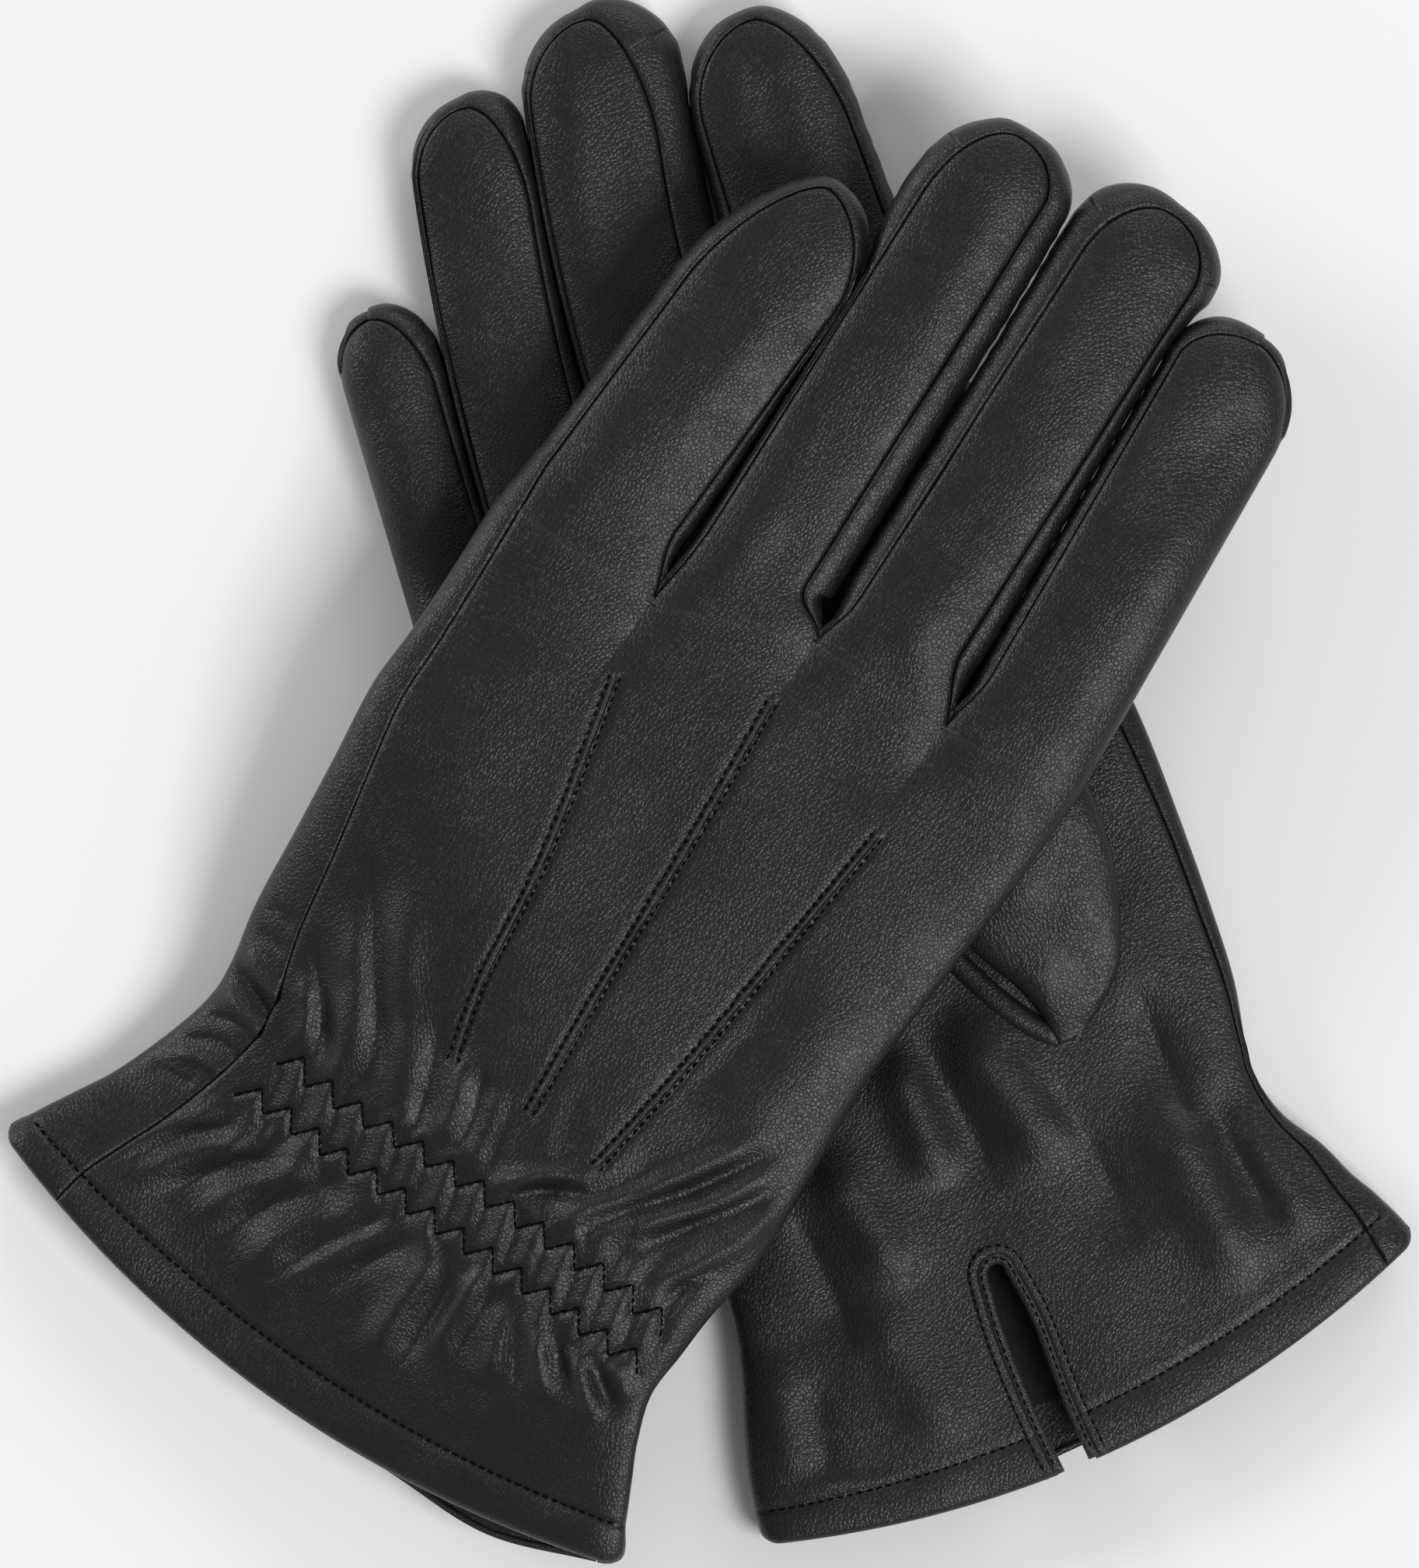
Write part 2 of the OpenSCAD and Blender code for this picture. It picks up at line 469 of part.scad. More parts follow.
module right_wrist_elastic() {
  color(brown)
    wrist_elastic(right);
}
module right_vent_binding() {
  color(dark)
    vent_binding(right);
}
module right_points() {
  color(dark)
    points(right);
}
module right_shirring_stitches() {
  color(dark)
    shirring_stitches(right);
}
module right_hem_stitches() {
  color(dark)
    hem_stitches(right);
}
module right_thumb_leather() {
  color(black)
    thumb_tube(thumb_r, 0, leather_t, 0);
}
module right_thumb_lining() {
  color(brown)
    thumb_tube(thumb_r, leather_t + 0.2, 0.5, 0.5);
}
module right_little_back() {
  color(black)
    finger_cover(right, back_cols, back_split, 0, true);
}
module right_little_palm() {
  color(black)
    finger_cover(right, palm_cols, palm_split, 0, false);
}
module right_little_sides() {
  color(black)
    finger_sides(right, 0);
}
module right_little_lining() {
  color(brown)
    finger_lining(right, 0, right[3][0][6] + fold_gap / 2, flen(right[3][0]) - 3.2, true);
}
module right_ring_back() {
  color(black)
    finger_cover(right, back_cols, back_split, 1, true);
}
module right_ring_palm() {
  color(black)
    finger_cover(right, palm_cols, palm_split, 1, false);
}
module right_ring_sides() {
  color(black)
    finger_sides(right, 1);
}
module right_ring_lining() {
  color(brown)
    finger_lining(right, 1, right[3][1][6] + fold_gap / 2, flen(right[3][1]) - 3.2, true);
}
module right_middle_back() {
  color(black)
    finger_cover(right, back_cols, back_split, 2, true);
}
module right_middle_palm() {
  color(black)
    finger_cover(right, palm_cols, palm_split, 2, false);
}
module right_middle_sides() {
  color(black)
    finger_sides(right, 2);
}
module right_middle_lining() {
  color(brown)
    finger_lining(right, 2, right[3][2][6] + fold_gap / 2, flen(right[3][2]) - 3.2, true);
}
module right_index_back() {
  color(black)
    finger_cover(right, back_cols, back_split, 3, true);
}
module right_index_palm() {
  color(black)
    finger_cover(right, palm_cols, palm_split, 3, false);
}
module right_index_sides() {
  color(black)
    finger_sides(right, 3);
}
module right_index_lining() {
  color(brown)
    finger_lining(right, 3, right[3][3][6] + fold_gap / 2, flen(right[3][3]) - 3.2, true);
}

left_back_panel();
left_palm_panel();
left_fourchettes();
left_hand_lining();
left_wrist_elastic();
left_vent_binding();
left_points();
left_shirring_stitches();
left_hem_stitches();
left_thumb_leather();
left_thumb_lining();
left_little_back();
left_little_palm();
left_little_sides();
left_little_lining();
left_ring_back();
left_ring_palm();
left_ring_sides();
left_ring_lining();
left_middle_back();
left_middle_palm();
left_middle_sides();
left_middle_lining();
left_index_back();
left_index_palm();
left_index_sides();
left_index_lining();
right_back_panel();
right_palm_panel();
right_fourchettes();
right_hand_lining();
right_wrist_elastic();
right_vent_binding();
right_points();
right_shirring_stitches();
right_hem_stitches();
right_thumb_leather();
right_thumb_lining();
right_little_back();
right_little_palm();
right_little_sides();
right_little_lining();
right_ring_back();
right_ring_palm();
right_ring_sides();
right_ring_lining();
right_middle_back();
right_middle_palm();
right_middle_sides();
right_middle_lining();
right_index_back();
right_index_palm();
right_index_sides();
right_index_lining();
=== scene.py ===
import math

import bpy
import numpy as np
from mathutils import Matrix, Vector
from mathutils.bvhtree import BVHTree


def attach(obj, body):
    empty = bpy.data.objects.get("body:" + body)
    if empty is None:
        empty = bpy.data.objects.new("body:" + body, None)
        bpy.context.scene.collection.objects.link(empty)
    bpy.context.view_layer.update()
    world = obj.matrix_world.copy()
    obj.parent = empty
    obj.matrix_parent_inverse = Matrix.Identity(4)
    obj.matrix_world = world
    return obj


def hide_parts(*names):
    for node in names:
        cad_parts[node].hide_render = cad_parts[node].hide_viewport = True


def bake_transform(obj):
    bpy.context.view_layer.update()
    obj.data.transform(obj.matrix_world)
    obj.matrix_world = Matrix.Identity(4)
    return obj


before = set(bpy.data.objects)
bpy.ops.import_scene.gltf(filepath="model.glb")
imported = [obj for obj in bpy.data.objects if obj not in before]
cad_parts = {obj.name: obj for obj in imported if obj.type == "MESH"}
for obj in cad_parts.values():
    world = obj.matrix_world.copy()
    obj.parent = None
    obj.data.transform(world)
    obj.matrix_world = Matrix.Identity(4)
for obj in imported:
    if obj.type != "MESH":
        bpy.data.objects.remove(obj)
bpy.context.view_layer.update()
MM = 0.001

# ---------------------------------------------------------------- camera
cam = bpy.data.objects.new("camera", bpy.data.cameras.new("camera"))
bpy.context.scene.collection.objects.link(cam)
cam.location = (0, 0, 3.012)
cam.data.sensor_width = 36
cam.data.lens = 36 * 3.0 / 0.252
cam.data.clip_end = 20
bpy.context.scene.camera = cam


# ---------------------------------------------------------------- small maths
def mix(a, b, t):
    return a + (b - a) * t


def sstep(t):
    t = np.clip(t, 0, 1)
    return t * t * (3 - 2 * t)


def prof(x, p):
    return np.maximum(0, 1 - np.minimum(1, np.abs(x)) ** p) ** (1 / p)


def unit(v):
    return v / np.maximum(1e-9, np.linalg.norm(v, axis=-1, keepdims=True))


def right_of(d):
    return np.stack([d[..., 1], -d[..., 0]], -1)


def through(table, v):
    """A smooth curve through a table of places, at the places v."""
    t = np.asarray(table, float)
    t = np.vstack([2 * t[0] - t[1], t, 2 * t[-1] - t[-2]])
    v = np.asarray(v, float)
    i = np.clip(np.floor(v).astype(int), 0, len(t) - 4)
    f = (v - i)[..., None]
    a, b, c, d = t[i], t[i + 1], t[i + 2], t[i + 3]
    return b + 0.5 * f * (c - a + f * (2 * a - 5 * b + 4 * c - d + f * (3 * (b - c) + d - a)))


def to_path(xy, path):
    """Distance from each place to a path, and how far along it from 0 to 1."""
    path = np.asarray(path, float)
    seg = np.linalg.norm(np.diff(path, axis=0), axis=1)
    start = np.concatenate([[0], np.cumsum(seg)])
    best, along = np.full(xy.shape[:-1], 1e9), np.zeros(xy.shape[:-1])
    for k in range(len(seg)):
        a, d = path[k], path[k + 1] - path[k]
        t = np.clip(((xy - a) @ d) / (d @ d), 0, 1)
        r = np.linalg.norm(xy - a - t[..., None] * d, axis=-1)
        near = r < best
        best = np.where(near, r, best)
        along = np.where(near, (start[k] + t * seg[k]) / start[-1], along)
    return best, along


def resample(path, step):
    path = np.asarray(path, float)
    seg = np.linalg.norm(np.diff(path, axis=0), axis=1)
    at = np.concatenate([[0], np.cumsum(seg)])
    n = max(2, int(round(at[-1] / step)) + 1)
    s = np.linspace(0, at[-1], n)
    return np.stack([np.interp(s, at, path[:, k]) for k in range(path.shape[1])], -1)


def smooth_path(path, step):
    fine = through(path, np.linspace(0, len(path) - 1, 12 * len(path)))
    return resample(fine, step)


def waves(xy, size, seed):
    """A soft random height from -1 to 1, with bumps about size across."""
    rng = np.random.RandomState(seed)
    total = np.zeros(xy.shape[:-1])
    for _ in range(9):
        a, k = rng.uniform(0, 2 * math.pi), 2 * math.pi / (size * rng.uniform(0.7, 1.7))
        total += np.sin((xy[..., 0] * math.cos(a) + xy[..., 1] * math.sin(a)) * k + rng.uniform(0, 7))
    return total / 4.5


# ---------------------------------------------------------------- the two gloves, in millimetres
HH = 5.5  # half the thickness of a glove lying flat
HEM_ROW = 7.6  # from the cuff's edge to its row of stitches
AWAY = 99  # a distance too large to matter


class Glove:
    """The measures of one glove."""


left, right = Glove(), Glove()
# l and r: the hand's two edges, from the cuff to the knuckles; c: the crotches;
# wrap: how far the seam on the top lies from its edge of the hand
left.name, left.seam_side, left.top, left.under = "left", -1, "back", "palm"
left.l = [[-113.7, -56.5], [-109, -53], [-102, -49.4], [-95.3, -45.9], [-86.5, -39.6], [-80.3, -34],
          [-76.8, -28.4], [-72.8, -19], [-66.5, -7.5], [-60.3, 4], [-54, 16], [-47.8, 24.5], [-41.5, 34],
          [-34, 46]]
left.r = [[-14.9, -125.3], [-13.4, -118.4], [-12.4, -111.5], [-11.5, -105.3], [-9.3, -97.8], [-4.6, -91.5],
          [0.4, -85], [7.9, -76.5], [14.8, -65.3], [24.8, -48.4], [36, -33.4], [48.5, -17.1], [54, -9.3],
          [59.3, -1.7]]
left.c = [[-34, 46], [-9.5, 28.8], [17, 22.5], [37.3, 8.5], [59.3, -1.7]]
left.wrap = [13, 12.3, 11.6, 11, 10.5, 10, 9.5, 8.5, 7.5, 6.2, 5.2, 4.5, 4, 3.7]
# for each finger from little to index: base, tip, bow, half width at the base and near the tip,
# width of the two side strips, inset of the two seams, place of the fold
left.f = [[(-22.5, 38.2), (20.2, 96.4), 0, 13, 12.6, (3, 2.4), (2.6, 0.4), 12.5],
          [(1.6, 26.4), (50.8, 104.6), 0, 9.4, 9.3, (3.4, 4.8), (0.5, 0.6), 12.5],
          [(26, 16.2), (74.8, 92.6), 0, 10, 10, (6, 4.2), (1.2, 0.6), 12.5],
          [(48.6, 2), (88.9, 71.6), 0, 11.1, 10.9, (3.2, 0), (0.4, 0), 12.5]]
# for the little-side seam and then the other: length of the taper and its power;
# then the same for the outline
left.tips = [(24, 1.6, 15, 1.8, 24, 1.55, 14, 1.8), (16, 2, 7.5, 2, 14, 1.8, 10, 1.8),
             (13, 2, 8.5, 2, 13, 2, 11, 1.9), (8, 2, 14, 1.85, 8, 2, 15, 1.8)]
left.share = (0.36, 0.56)
right.name, right.seam_side, right.top, right.under = "right", 1, "palm", "back"
right.l = [[9.1, -122.5], [7, -115.3], [6, -109], [5.5, -102.8], [5.1, -95.9], [4.1, -88.4], [2.3, -82.1],
           [-2.4, -71.5], [-7.8, -60.3], [-14, -48.4], [-20.9, -35.3], [-27.8, -22.1], [-34.6, -9],
           [-41.5, 5.4]]
right.r = [[113.7, -73.4], [107.9, -66.5], [103.5, -62.8], [98.5, -57.8], [92.3, -53.1], [87.9, -47.1],
           [86.4, -42.1], [84.5, -31.5], [81, -20.3], [76.6, -7.8], [70.4, 8.5], [63.5, 23.5], [56.3, 38.5],
           [48.5, 54.1]]
right.c = [[-41.5, 5.4], [-27.8, 14.8], [-8.6, 29.8], [18.5, 41], [48.5, 54.1]]
right.wrap = [5.8, 4.6, 3.6, 2.6, 1.5, 0.9, 0.9, 1.8, 2.3, 2.5, 3.4, 4, 4, 4]
right.f = [[(-35, 8.6), (-55, 76.2), 0, 7.5, 7.4, (0, 3), (0, 0.5), 40.5],
           [(-18.6, 22), (-39.6, 110.4), -2.8, 9.4, 9.2, (0.9, 4), (0.2, 1), 46.5],
           [(1, 36.6), (-20.2, 124.6), -3.4, 10.2, 10.6, (1.2, 6.5), (0.2, 1.2), 53.5],
           [(33.3, 48.5), (5.8, 124.4), -0.8, 14.4, 12, (2.4, 2.8), (0.3, 2.4), 54]]
right.tips = [(10, 2, 13, 1.8, 10, 2, 10, 1.9), (11, 2, 18, 1.8, 11, 1.9, 12, 1.9),
              (12, 1.9, 22, 1.75, 12, 1.85, 13, 1.8), (13, 1.9, 20, 1.8, 13, 1.85, 16, 1.8)]
right.share = (0.24, 0.2)


def ends_of(g):
    """The finger beside the seam on the top, and the one at the other edge of the hand."""
    return (0, 3) if g.seam_side < 0 else (3, 0)


def past_edge(p):
    """Distance beyond the right glove's little-finger edge."""
    return (p[..., 0] - 7.3) * -0.937 + (p[..., 1] + 121.5) * -0.350


def past_index(p):
    """Distance beyond the right glove's index edge."""
    return (p[..., 0] - 31) * 0.912 + (p[..., 1] - 97.9) * 0.411


def lie(g, p):
    """Height of the middle layer over the floor: the left glove leans on the right one."""
    if g is right:
        return np.full(p.shape[:-1], HH)
    return HH + 20 - 19.7 * sstep(past_edge(p) / 72) - 6 * sstep((past_index(p) - 6) / 45)


def hand_xy(g, v, u):
    """Place in the hand: v from 0 at the cuff to 13 at the knuckles, u from 0 to 1 across."""
    v, u = np.broadcast_arrays(v, u)
    a, b = through(g.l, v), through(g.r, v)
    d = unit(b - a)
    U = u[..., None]
    bow = np.where(v < 8, 10 * (1 - v / 8) ** 2, 0) * 4 * u * (1 - u)
    c = np.asarray(g.c, float)
    i = np.clip(np.floor(u * 4).astype(int), 0, 3)
    crotch = mix(c[i], c[i + 1], (u * 4 - i)[..., None])
    side = np.minimum(u, 1 - u) * np.linalg.norm(b - a, axis=-1)
    cut = 1 - np.clip(side / 2.2, 0, 1)
    bow = bow - 2.2 * (1 - np.sqrt(np.maximum(0, 1 - cut**2))) * (1 - sstep(v / 1.1))
    scallop = sstep((v - 9) / 4)[..., None] * (crotch - mix(c[0], c[4], U))
    return mix(a, b, U) + right_of(d) * bow[..., None] + scallop


def fall(f, x):
    """The round of one finger, which reaches the middle layer only at the hand's two edges."""
    r = np.where(((f == 0) & (x < 0)) | ((f == 3) & (x > 0)), 1.0, 0.8)
    return prof(x * r, 2.3)


def hand_rise(v, f, x):
    """Height over the middle layer, as a part of the half thickness."""
    q = 2 * (f + (x + 1) / 2) / 4 - 1
    return mix(prof(q, 4.2), fall(f, x), sstep((v - 11.4) / 1.6))


def finger(g, f):
    base, tip, bow, w0, w1, b, e, fold = g.f[f]
    base, tip = np.array(base), np.array(tip)
    length = np.linalg.norm(tip - base)
    d = (tip - base) / length
    return base, d, np.array([d[1], -d[0]]), length, bow, w0, w1, b, e, fold


TIP_IN = 1.7


def finger_xy(g, f, s, lat):
    base, d, n, length, bow, w0, w1 = finger(g, f)[:7]
    s, lat = np.broadcast_arrays(s, lat)
    x = lat / mix(w0, w1, np.clip(s / length, 0, 1))
    k = s / length
    c = base + d * s[..., None] + n * (bow * 4 * k * (1 - k) + lat)[..., None]
    lo, hi = np.array(g.c[f], float), np.array(g.c[f + 1], float)
    root = mix(lo, hi, ((x + 1) / 2)[..., None]) + d * s[..., None]
    return mix(root, c, sstep(s / 12)[..., None])


def hand_w(g):
    """Half the width of one finger's share of the hand at the knuckles."""
    return np.linalg.norm(np.subtract(g.r[13], g.l[13])) / 8


def finger_w(g, f, s):
    """Distance from the centre line to the little-side seam and to the other one."""
    length, _, w0, w1, _, e = finger(g, f)[3:9]
    stop = length - TIP_IN
    w = mix(w0, w1, np.clip(s / length, 0, 1))
    close = g.tips[f]
    lo, hi = e
    at_hand = g.wrap[13] * w0 / hand_w(g)
    if g.seam_side < 0 and f == 0:
        lo = mix(at_hand, e[0], sstep(s / 10))
    if g.seam_side > 0 and f == 3:
        hi = mix(at_hand, e[1], sstep(s / 10))
    grow = sstep(s / 9)
    lo = lo if g.seam_side < 0 and f == 0 else lo * grow
    hi = hi if g.seam_side > 0 and f == 3 else hi * grow
    return (w - lo) * taper(s, stop, *close[:2]), (w - hi) * taper(s, stop, *close[2:4])


def taper(s, end, run, power):
    t = np.clip((s - end + run) / run, 0, 1)
    return np.maximum(0.012, (1 - t**power) ** (1 / power))


def turned(g, f, s, side):
    """0 where a finger's edge runs along it, growing to 1 where the edge runs across it at the tip."""
    k = 0 if side < 0 else 1
    slope = (finger_w(g, f, s + 0.05)[k] - finger_w(g, f, s - 0.05)[k]) / 0.1
    q = 1 - 1 / np.sqrt(1 + slope**2)
    return np.where(s > finger(g, f)[3] - TIP_IN - 0.3, 1, sstep(q * 1.6))


def finger_h(g, f, s):
    length = finger(g, f)[3]
    t = np.clip((s - length + 11) / 11, 0, 1)
    return 1.9 + (HH - 1.9) * np.sqrt(np.maximum(0, 1 - t**2))


def finger_rise(g, f, s, lat):
    s, lat = np.broadcast_arrays(s, lat)
    length, _, w0, w1 = finger(g, f)[3:7]
    w = mix(w0, w1, np.clip(s / length, 0, 1))
    x = lat / w
    flat = prof(x * 0.8, 2.3)
    side = 1 if g.seam_side < 0 else -1
    if (f == 3 and side > 0) or (f == 0 and side < 0):
        lo, hi = finger_w(g, f, s)
        edge = lat / np.maximum(1e-6, hi if side > 0 else lo) * side
        tip = turned(g, f, s, side)
        rounded = mix(prof(edge, 2.3), prof(edge * 0.8, 2.3), tip)
        return np.where(edge > 0, rounded, flat)
    if (f == 0 and side > 0) or (f == 3 and side < 0):
        return np.where(x * side < 0, prof(x, 2.3), flat)
    return flat


# ---------------------------------------------------------------- creases, puckers and stitch lines
# height, width, then the places that the crease runs through
LEFT_FOLDS = [
    (-1.2, 2.1, (-53.6, -10), (-53.3, -28), (-52.8, -47)),
    (0.9, 2.4, (-49.4, -14), (-49, -30), (-49.5, -52)),
    (0.8, 2.0, (-57, -18), (-57, -34), (-57.5, -48)), (-0.9, 1.5, (-63.5, -23), (-61.8, -37), (-63.2, -46)),
    (0.8, 1.3, (-65.5, -29), (-64.8, -38), (-66, -44)), (0.7, 1.2, (-60, -31), (-59.4, -42), (-60.5, -50)),
    (-0.9, 1.5, (-43, -36), (-44.5, -46), (-47.5, -56)), (0.9, 1.4, (-39.6, -42), (-41, -50), (-44.5, -59)),
    (-0.8, 1.3, (-36, -44), (-37.5, -53), (-41.5, -60)), (0.6, 1.3, (-33, -46), (-35.5, -56), (-39.5, -63)),
    (1.1, 1.1, (-36.2, -66.6), (-33, -63.8), (-26, -62.5), (-18.4, -62.8)),
    (-1.0, 1.3, (-33, -66.8), (-28, -65), (-18, -65.4), (-8, -62)),
    (1.3, 1.5, (-26.5, -72.6), (-20, -67.9), (-8, -64), (11, -55.8)),
    (-1.0, 1.5, (-22, -73), (-14, -69.2), (0, -64), (14, -57)),
    (1.3, 1.5, (-22.3, -77.3), (-14.4, -70.9), (-0.6, -67.4), (13, -60)),
    (-0.9, 1.5, (-17, -78.5), (-8, -72.8), (4, -68), (14, -63)),
    (1.1, 1.4, (-12.8, -84), (-7.1, -79.3), (3.5, -74), (13, -66)),
    (-0.8, 1.2, (-9, -85), (-2, -79), (5, -76)),
    (0.8, 5.5, (26, -33), (14, -46), (2, -60)), (-0.6, 5, (14, -31), (3, -44), (-10, -54)),
    (0.9, 1.6, (-98, -59.4), (-86.5, -54.1), (-76, -52)),
    (-0.7, 1.3, (-97, -62), (-85, -56.6), (-74, -54.6)),
    (0.9, 1.8, (-95.4, -64), (-81.6, -59), (-68, -57)), (-0.9, 1.6, (-90, -67), (-78, -61.6), (-66, -59.6)),
    (0.9, 1.9, (-85, -71), (-72, -64), (-62, -61)), (-0.8, 1.7, (-80, -73.4), (-69, -67), (-57, -63)),
    (1.0, 2.2, (-78, -80), (-67, -72.4), (-54, -67)), (-0.9, 1.6, (-71, -80), (-60, -73), (-50, -68.6)),
    (1.1, 1.8, (-73.5, -84.5), (-65.4, -77.8), (-54, -72.8), (-46.8, -70)),
    (-0.8, 1.5, (-63, -82), (-54, -76), (-45, -72.6)), (1.0, 1.7, (-56, -94), (-50, -84), (-41.4, -74)),
    (-0.9, 1.5, (-51, -95), (-45, -86), (-39, -77)), (0.9, 1.4, (-46, -93), (-41, -84.5), (-36.4, -77)),
    (-0.8, 1.3, (-42, -94), (-37.5, -86), (-33.6, -80)), (0.9, 1.4, (-36.6, -97), (-34.5, -89), (-32, -82)),
    (-0.8, 1.3, (-31, -99), (-30.5, -92), (-29.4, -85.5)),
    (1.0, 1.3, (-26, -100), (-27.4, -92), (-27.6, -86)),
    (-0.9, 1.2, (-21.5, -101), (-23.5, -94), (-24.4, -88)),
    (1.1, 1.2, (-18, -103), (-20.6, -96), (-22.4, -89)),
    (-1.0, 1.1, (-14.6, -102), (-17.4, -95.5), (-19, -90.4)),
    (0.9, 1.1, (-12.6, -99.5), (-14.6, -95), (-16, -91.5)),
]
LEFT_WRAP_FOLDS = [
    (-0.9, 1.3, (-77.2, -27), (-73.5, -33), (-68.9, -40)),
    (1.0, 1.0, (-76, -24.6), (-71.6, -31), (-68, -37.6)),
    (1.1, 1.3, (-79.6, -30.5), (-75, -37), (-71, -42.5)), (-0.5, 0.7, (-82, -37), (-76, -38.4), (-72, -42)),
    (-0.5, 0.7, (-86, -40.6), (-79, -41.4), (-75, -45)), (0.4, 0.8, (-88, -43), (-82, -44), (-78, -47.4)),
    (-0.4, 0.8, (-91, -44.6), (-86, -47), (-82, -49)),
    (-0.4, 0.6, (-73.5, -23), (-70, -25.4), (-67.6, -28)),
    (-0.35, 0.6, (-72, -19), (-68.4, -21), (-66, -24)),
]
RIGHT_FOLDS = [
    (1.3, 3.2, (28, -41), (33, -52), (38, -66)), (-0.8, 3.4, (32, -38), (39, -50), (47, -66)),
    (1.5, 4.2, (37, -36), (47, -48), (58, -63)), (-0.9, 4.5, (50, -44), (60, -56), (70, -76)),
    (1.2, 3.6, (17, -58), (24, -69), (32, -82)), (-0.7, 3.2, (12, -66), (18, -78), (24, -92)),
    (1.6, 4.2, (71, -46), (77, -60), (88, -82)), (-1.0, 3.2, (68, -30), (72, -42), (79, -58)),
    (-0.9, 3.2, (79, -47), (84, -58), (93, -74)), (0.9, 2.6, (83.5, -50), (89, -60), (98, -74)),
    (0.6, 3.0, (10, -90), (12, -102), (13.4, -114)), (-0.4, 2.4, (16, -95), (18, -105), (20, -114)),
    (0.35, 0.9, (14, -113), (22, -112.6), (32, -112)), (0.7, 5.0, (-24, 0), (-14, -16), (2, -30)),
    (0.6, 5.0, (0, 10), (10, -8), (20, -20)), (0.6, 3.6, (24, -80), (34, -96), (40, -108)),
]


def crease(xy, folds):
    total = np.zeros(xy.shape[:-1])
    for amp, wide, *path in folds:
        path = through(path, np.linspace(0, len(path) - 1, 9))
        r, t = to_path(xy, path)
        across = np.exp(-((r / (wide * 1.3)) ** 2)) if amp > 0 else np.exp(-((r / (wide * 1.1)) ** 1.25))
        total += 1.2 * amp * across * sstep(t / 0.34) * sstep((1 - t) / 0.3)
    return total


UPPER = [(-69.6, -45), (-65, -48.6), (-60.3, -52.1), (-55.5, -55.1), (-41.5, -64), (-26.9, -74), (-17, -81),
         (-7.8, -88.4)]
LOWER = [(-76.5, -50), (-70.9, -53.6), (-66.1, -57.1), (-61.5, -60.3), (-45, -71.4), (-27.5, -83.4),
         (-22.8, -86.9), (-11.6, -94.4)]


def zigzag(path, limb=(4.65, 1.15), step=5.8):
    """The corners of a zigzag row: each low corner, then the high one beside it."""
    low = smooth_path(path, step)
    out = []
    for p in low:
        out += [p, p + np.array(limb)]
    return np.array(out[:-1])


ZIG = [zigzag(UPPER), zigzag(LOWER)]
POINTS = [
    [(-14.9, 17.6), (-26.3, -11.5), (-36.4, -31.5), (-41.2, -44.6)],
    [(10.1, 13.3), (-2.6, -8.6), (-15.6, -29.8), (-29, -52.8)],
    [(27, -8.1), (11.2, -27.2), (-3.6, -45), (-18.4, -61.5)],
]


def shirr(xy):
    """Puckers of the left back, gathered by the two zigzag rows."""
    mid = [((a[0] + b[0]) / 2 + 2, (a[1] + b[1]) / 2 + 0.6) for a, b in zip(UPPER, LOWER)]
    mid = smooth_path(mid, 2)
    r, t = to_path(xy, mid)
    n = len(mid) - 1
    i = np.clip((t * n).astype(int), 0, n - 1)
    d = unit(mid[i + 1] - mid[i])
    across = ((xy - mid[i]) * right_of(d)).sum(-1)  # positive towards the hem
    length = n * 2
    phase = (t * length - 0.225 * across) / 5.8 + 0.18
    wob = 0.3 * waves(xy, 11, 5) * sstep((np.abs(across) - 3) / 5)
    body = np.cos(2 * math.pi * (phase + wob))
    near = np.exp(-((np.maximum(0, np.abs(across) - 3.2) / 4.2) ** 2))
    wide = np.exp(-((np.maximum(0, np.abs(across) - 4) / 15) ** 2))
    ends = sstep((t * length + 2) / 5) * sstep(((1 - t) * length + 2) / 5) * (r < 40)
    broad = np.cos(math.pi * (phase + 0.4 * wob) + 0.7 * waves(xy, 14, 8))
    return (0.5 * body * near + 0.62 * broad * (wide - 0.6 * near) * (np.abs(across) > 0)) * ends


def stitched(xy, paths, depth, wide):
    total = np.zeros(xy.shape[:-1])
    for path in paths:
        r, _ = to_path(xy, path)
        total = np.minimum(total, -depth * np.exp(-((r / wide) ** 2)))
    return total


def beside(path, off):
    d = np.gradient(path, axis=0)
    return path + right_of(unit(d)) * off


POINT_LINES = [smooth_path(p, 1.5) for p in POINTS]
POINT_ROWS = [beside(p, o) for p in POINT_LINES for o in (-0.8, 0.8)]

# the right glove's hidden points, each between two places (v, u) of its hand
RIGHT_POINTS = [((11.4, 0.3), (6.9, 0.395)), ((11.7, 0.51), (6.9, 0.54)), ((10.9, 0.78), (6.7, 0.67))]

# the vent slit's two edges, from its top to the hem
VENT_R = dict(left=[(44.6, -79.2), (47.3, -88.3), (52.3, -100.8), (57.2, -111)],
              right=[(47.6, -78), (52, -86.2), (57.0, -99.3), (61.4, -109)])


def left_vent():
    v = np.array([4.1, 2.8, 1.4, -0.25])
    mid = hand_xy(left, np.maximum(v, 0), 0.444 + 0.021 * np.clip(v / 4, 0, 1))
    mid[-1] += (mid[-1] - mid[-2]) * 0.2
    wide = np.array([0.9, 1.4, 1.7, 2.0])[:, None]
    n = right_of(unit(np.gradient(mid, axis=0)))
    a, b = mid + n * wide, mid - n * wide
    return dict(left=[tuple(p) for p in a], right=[tuple(p) for p in b])


VENT_L = left_vent()


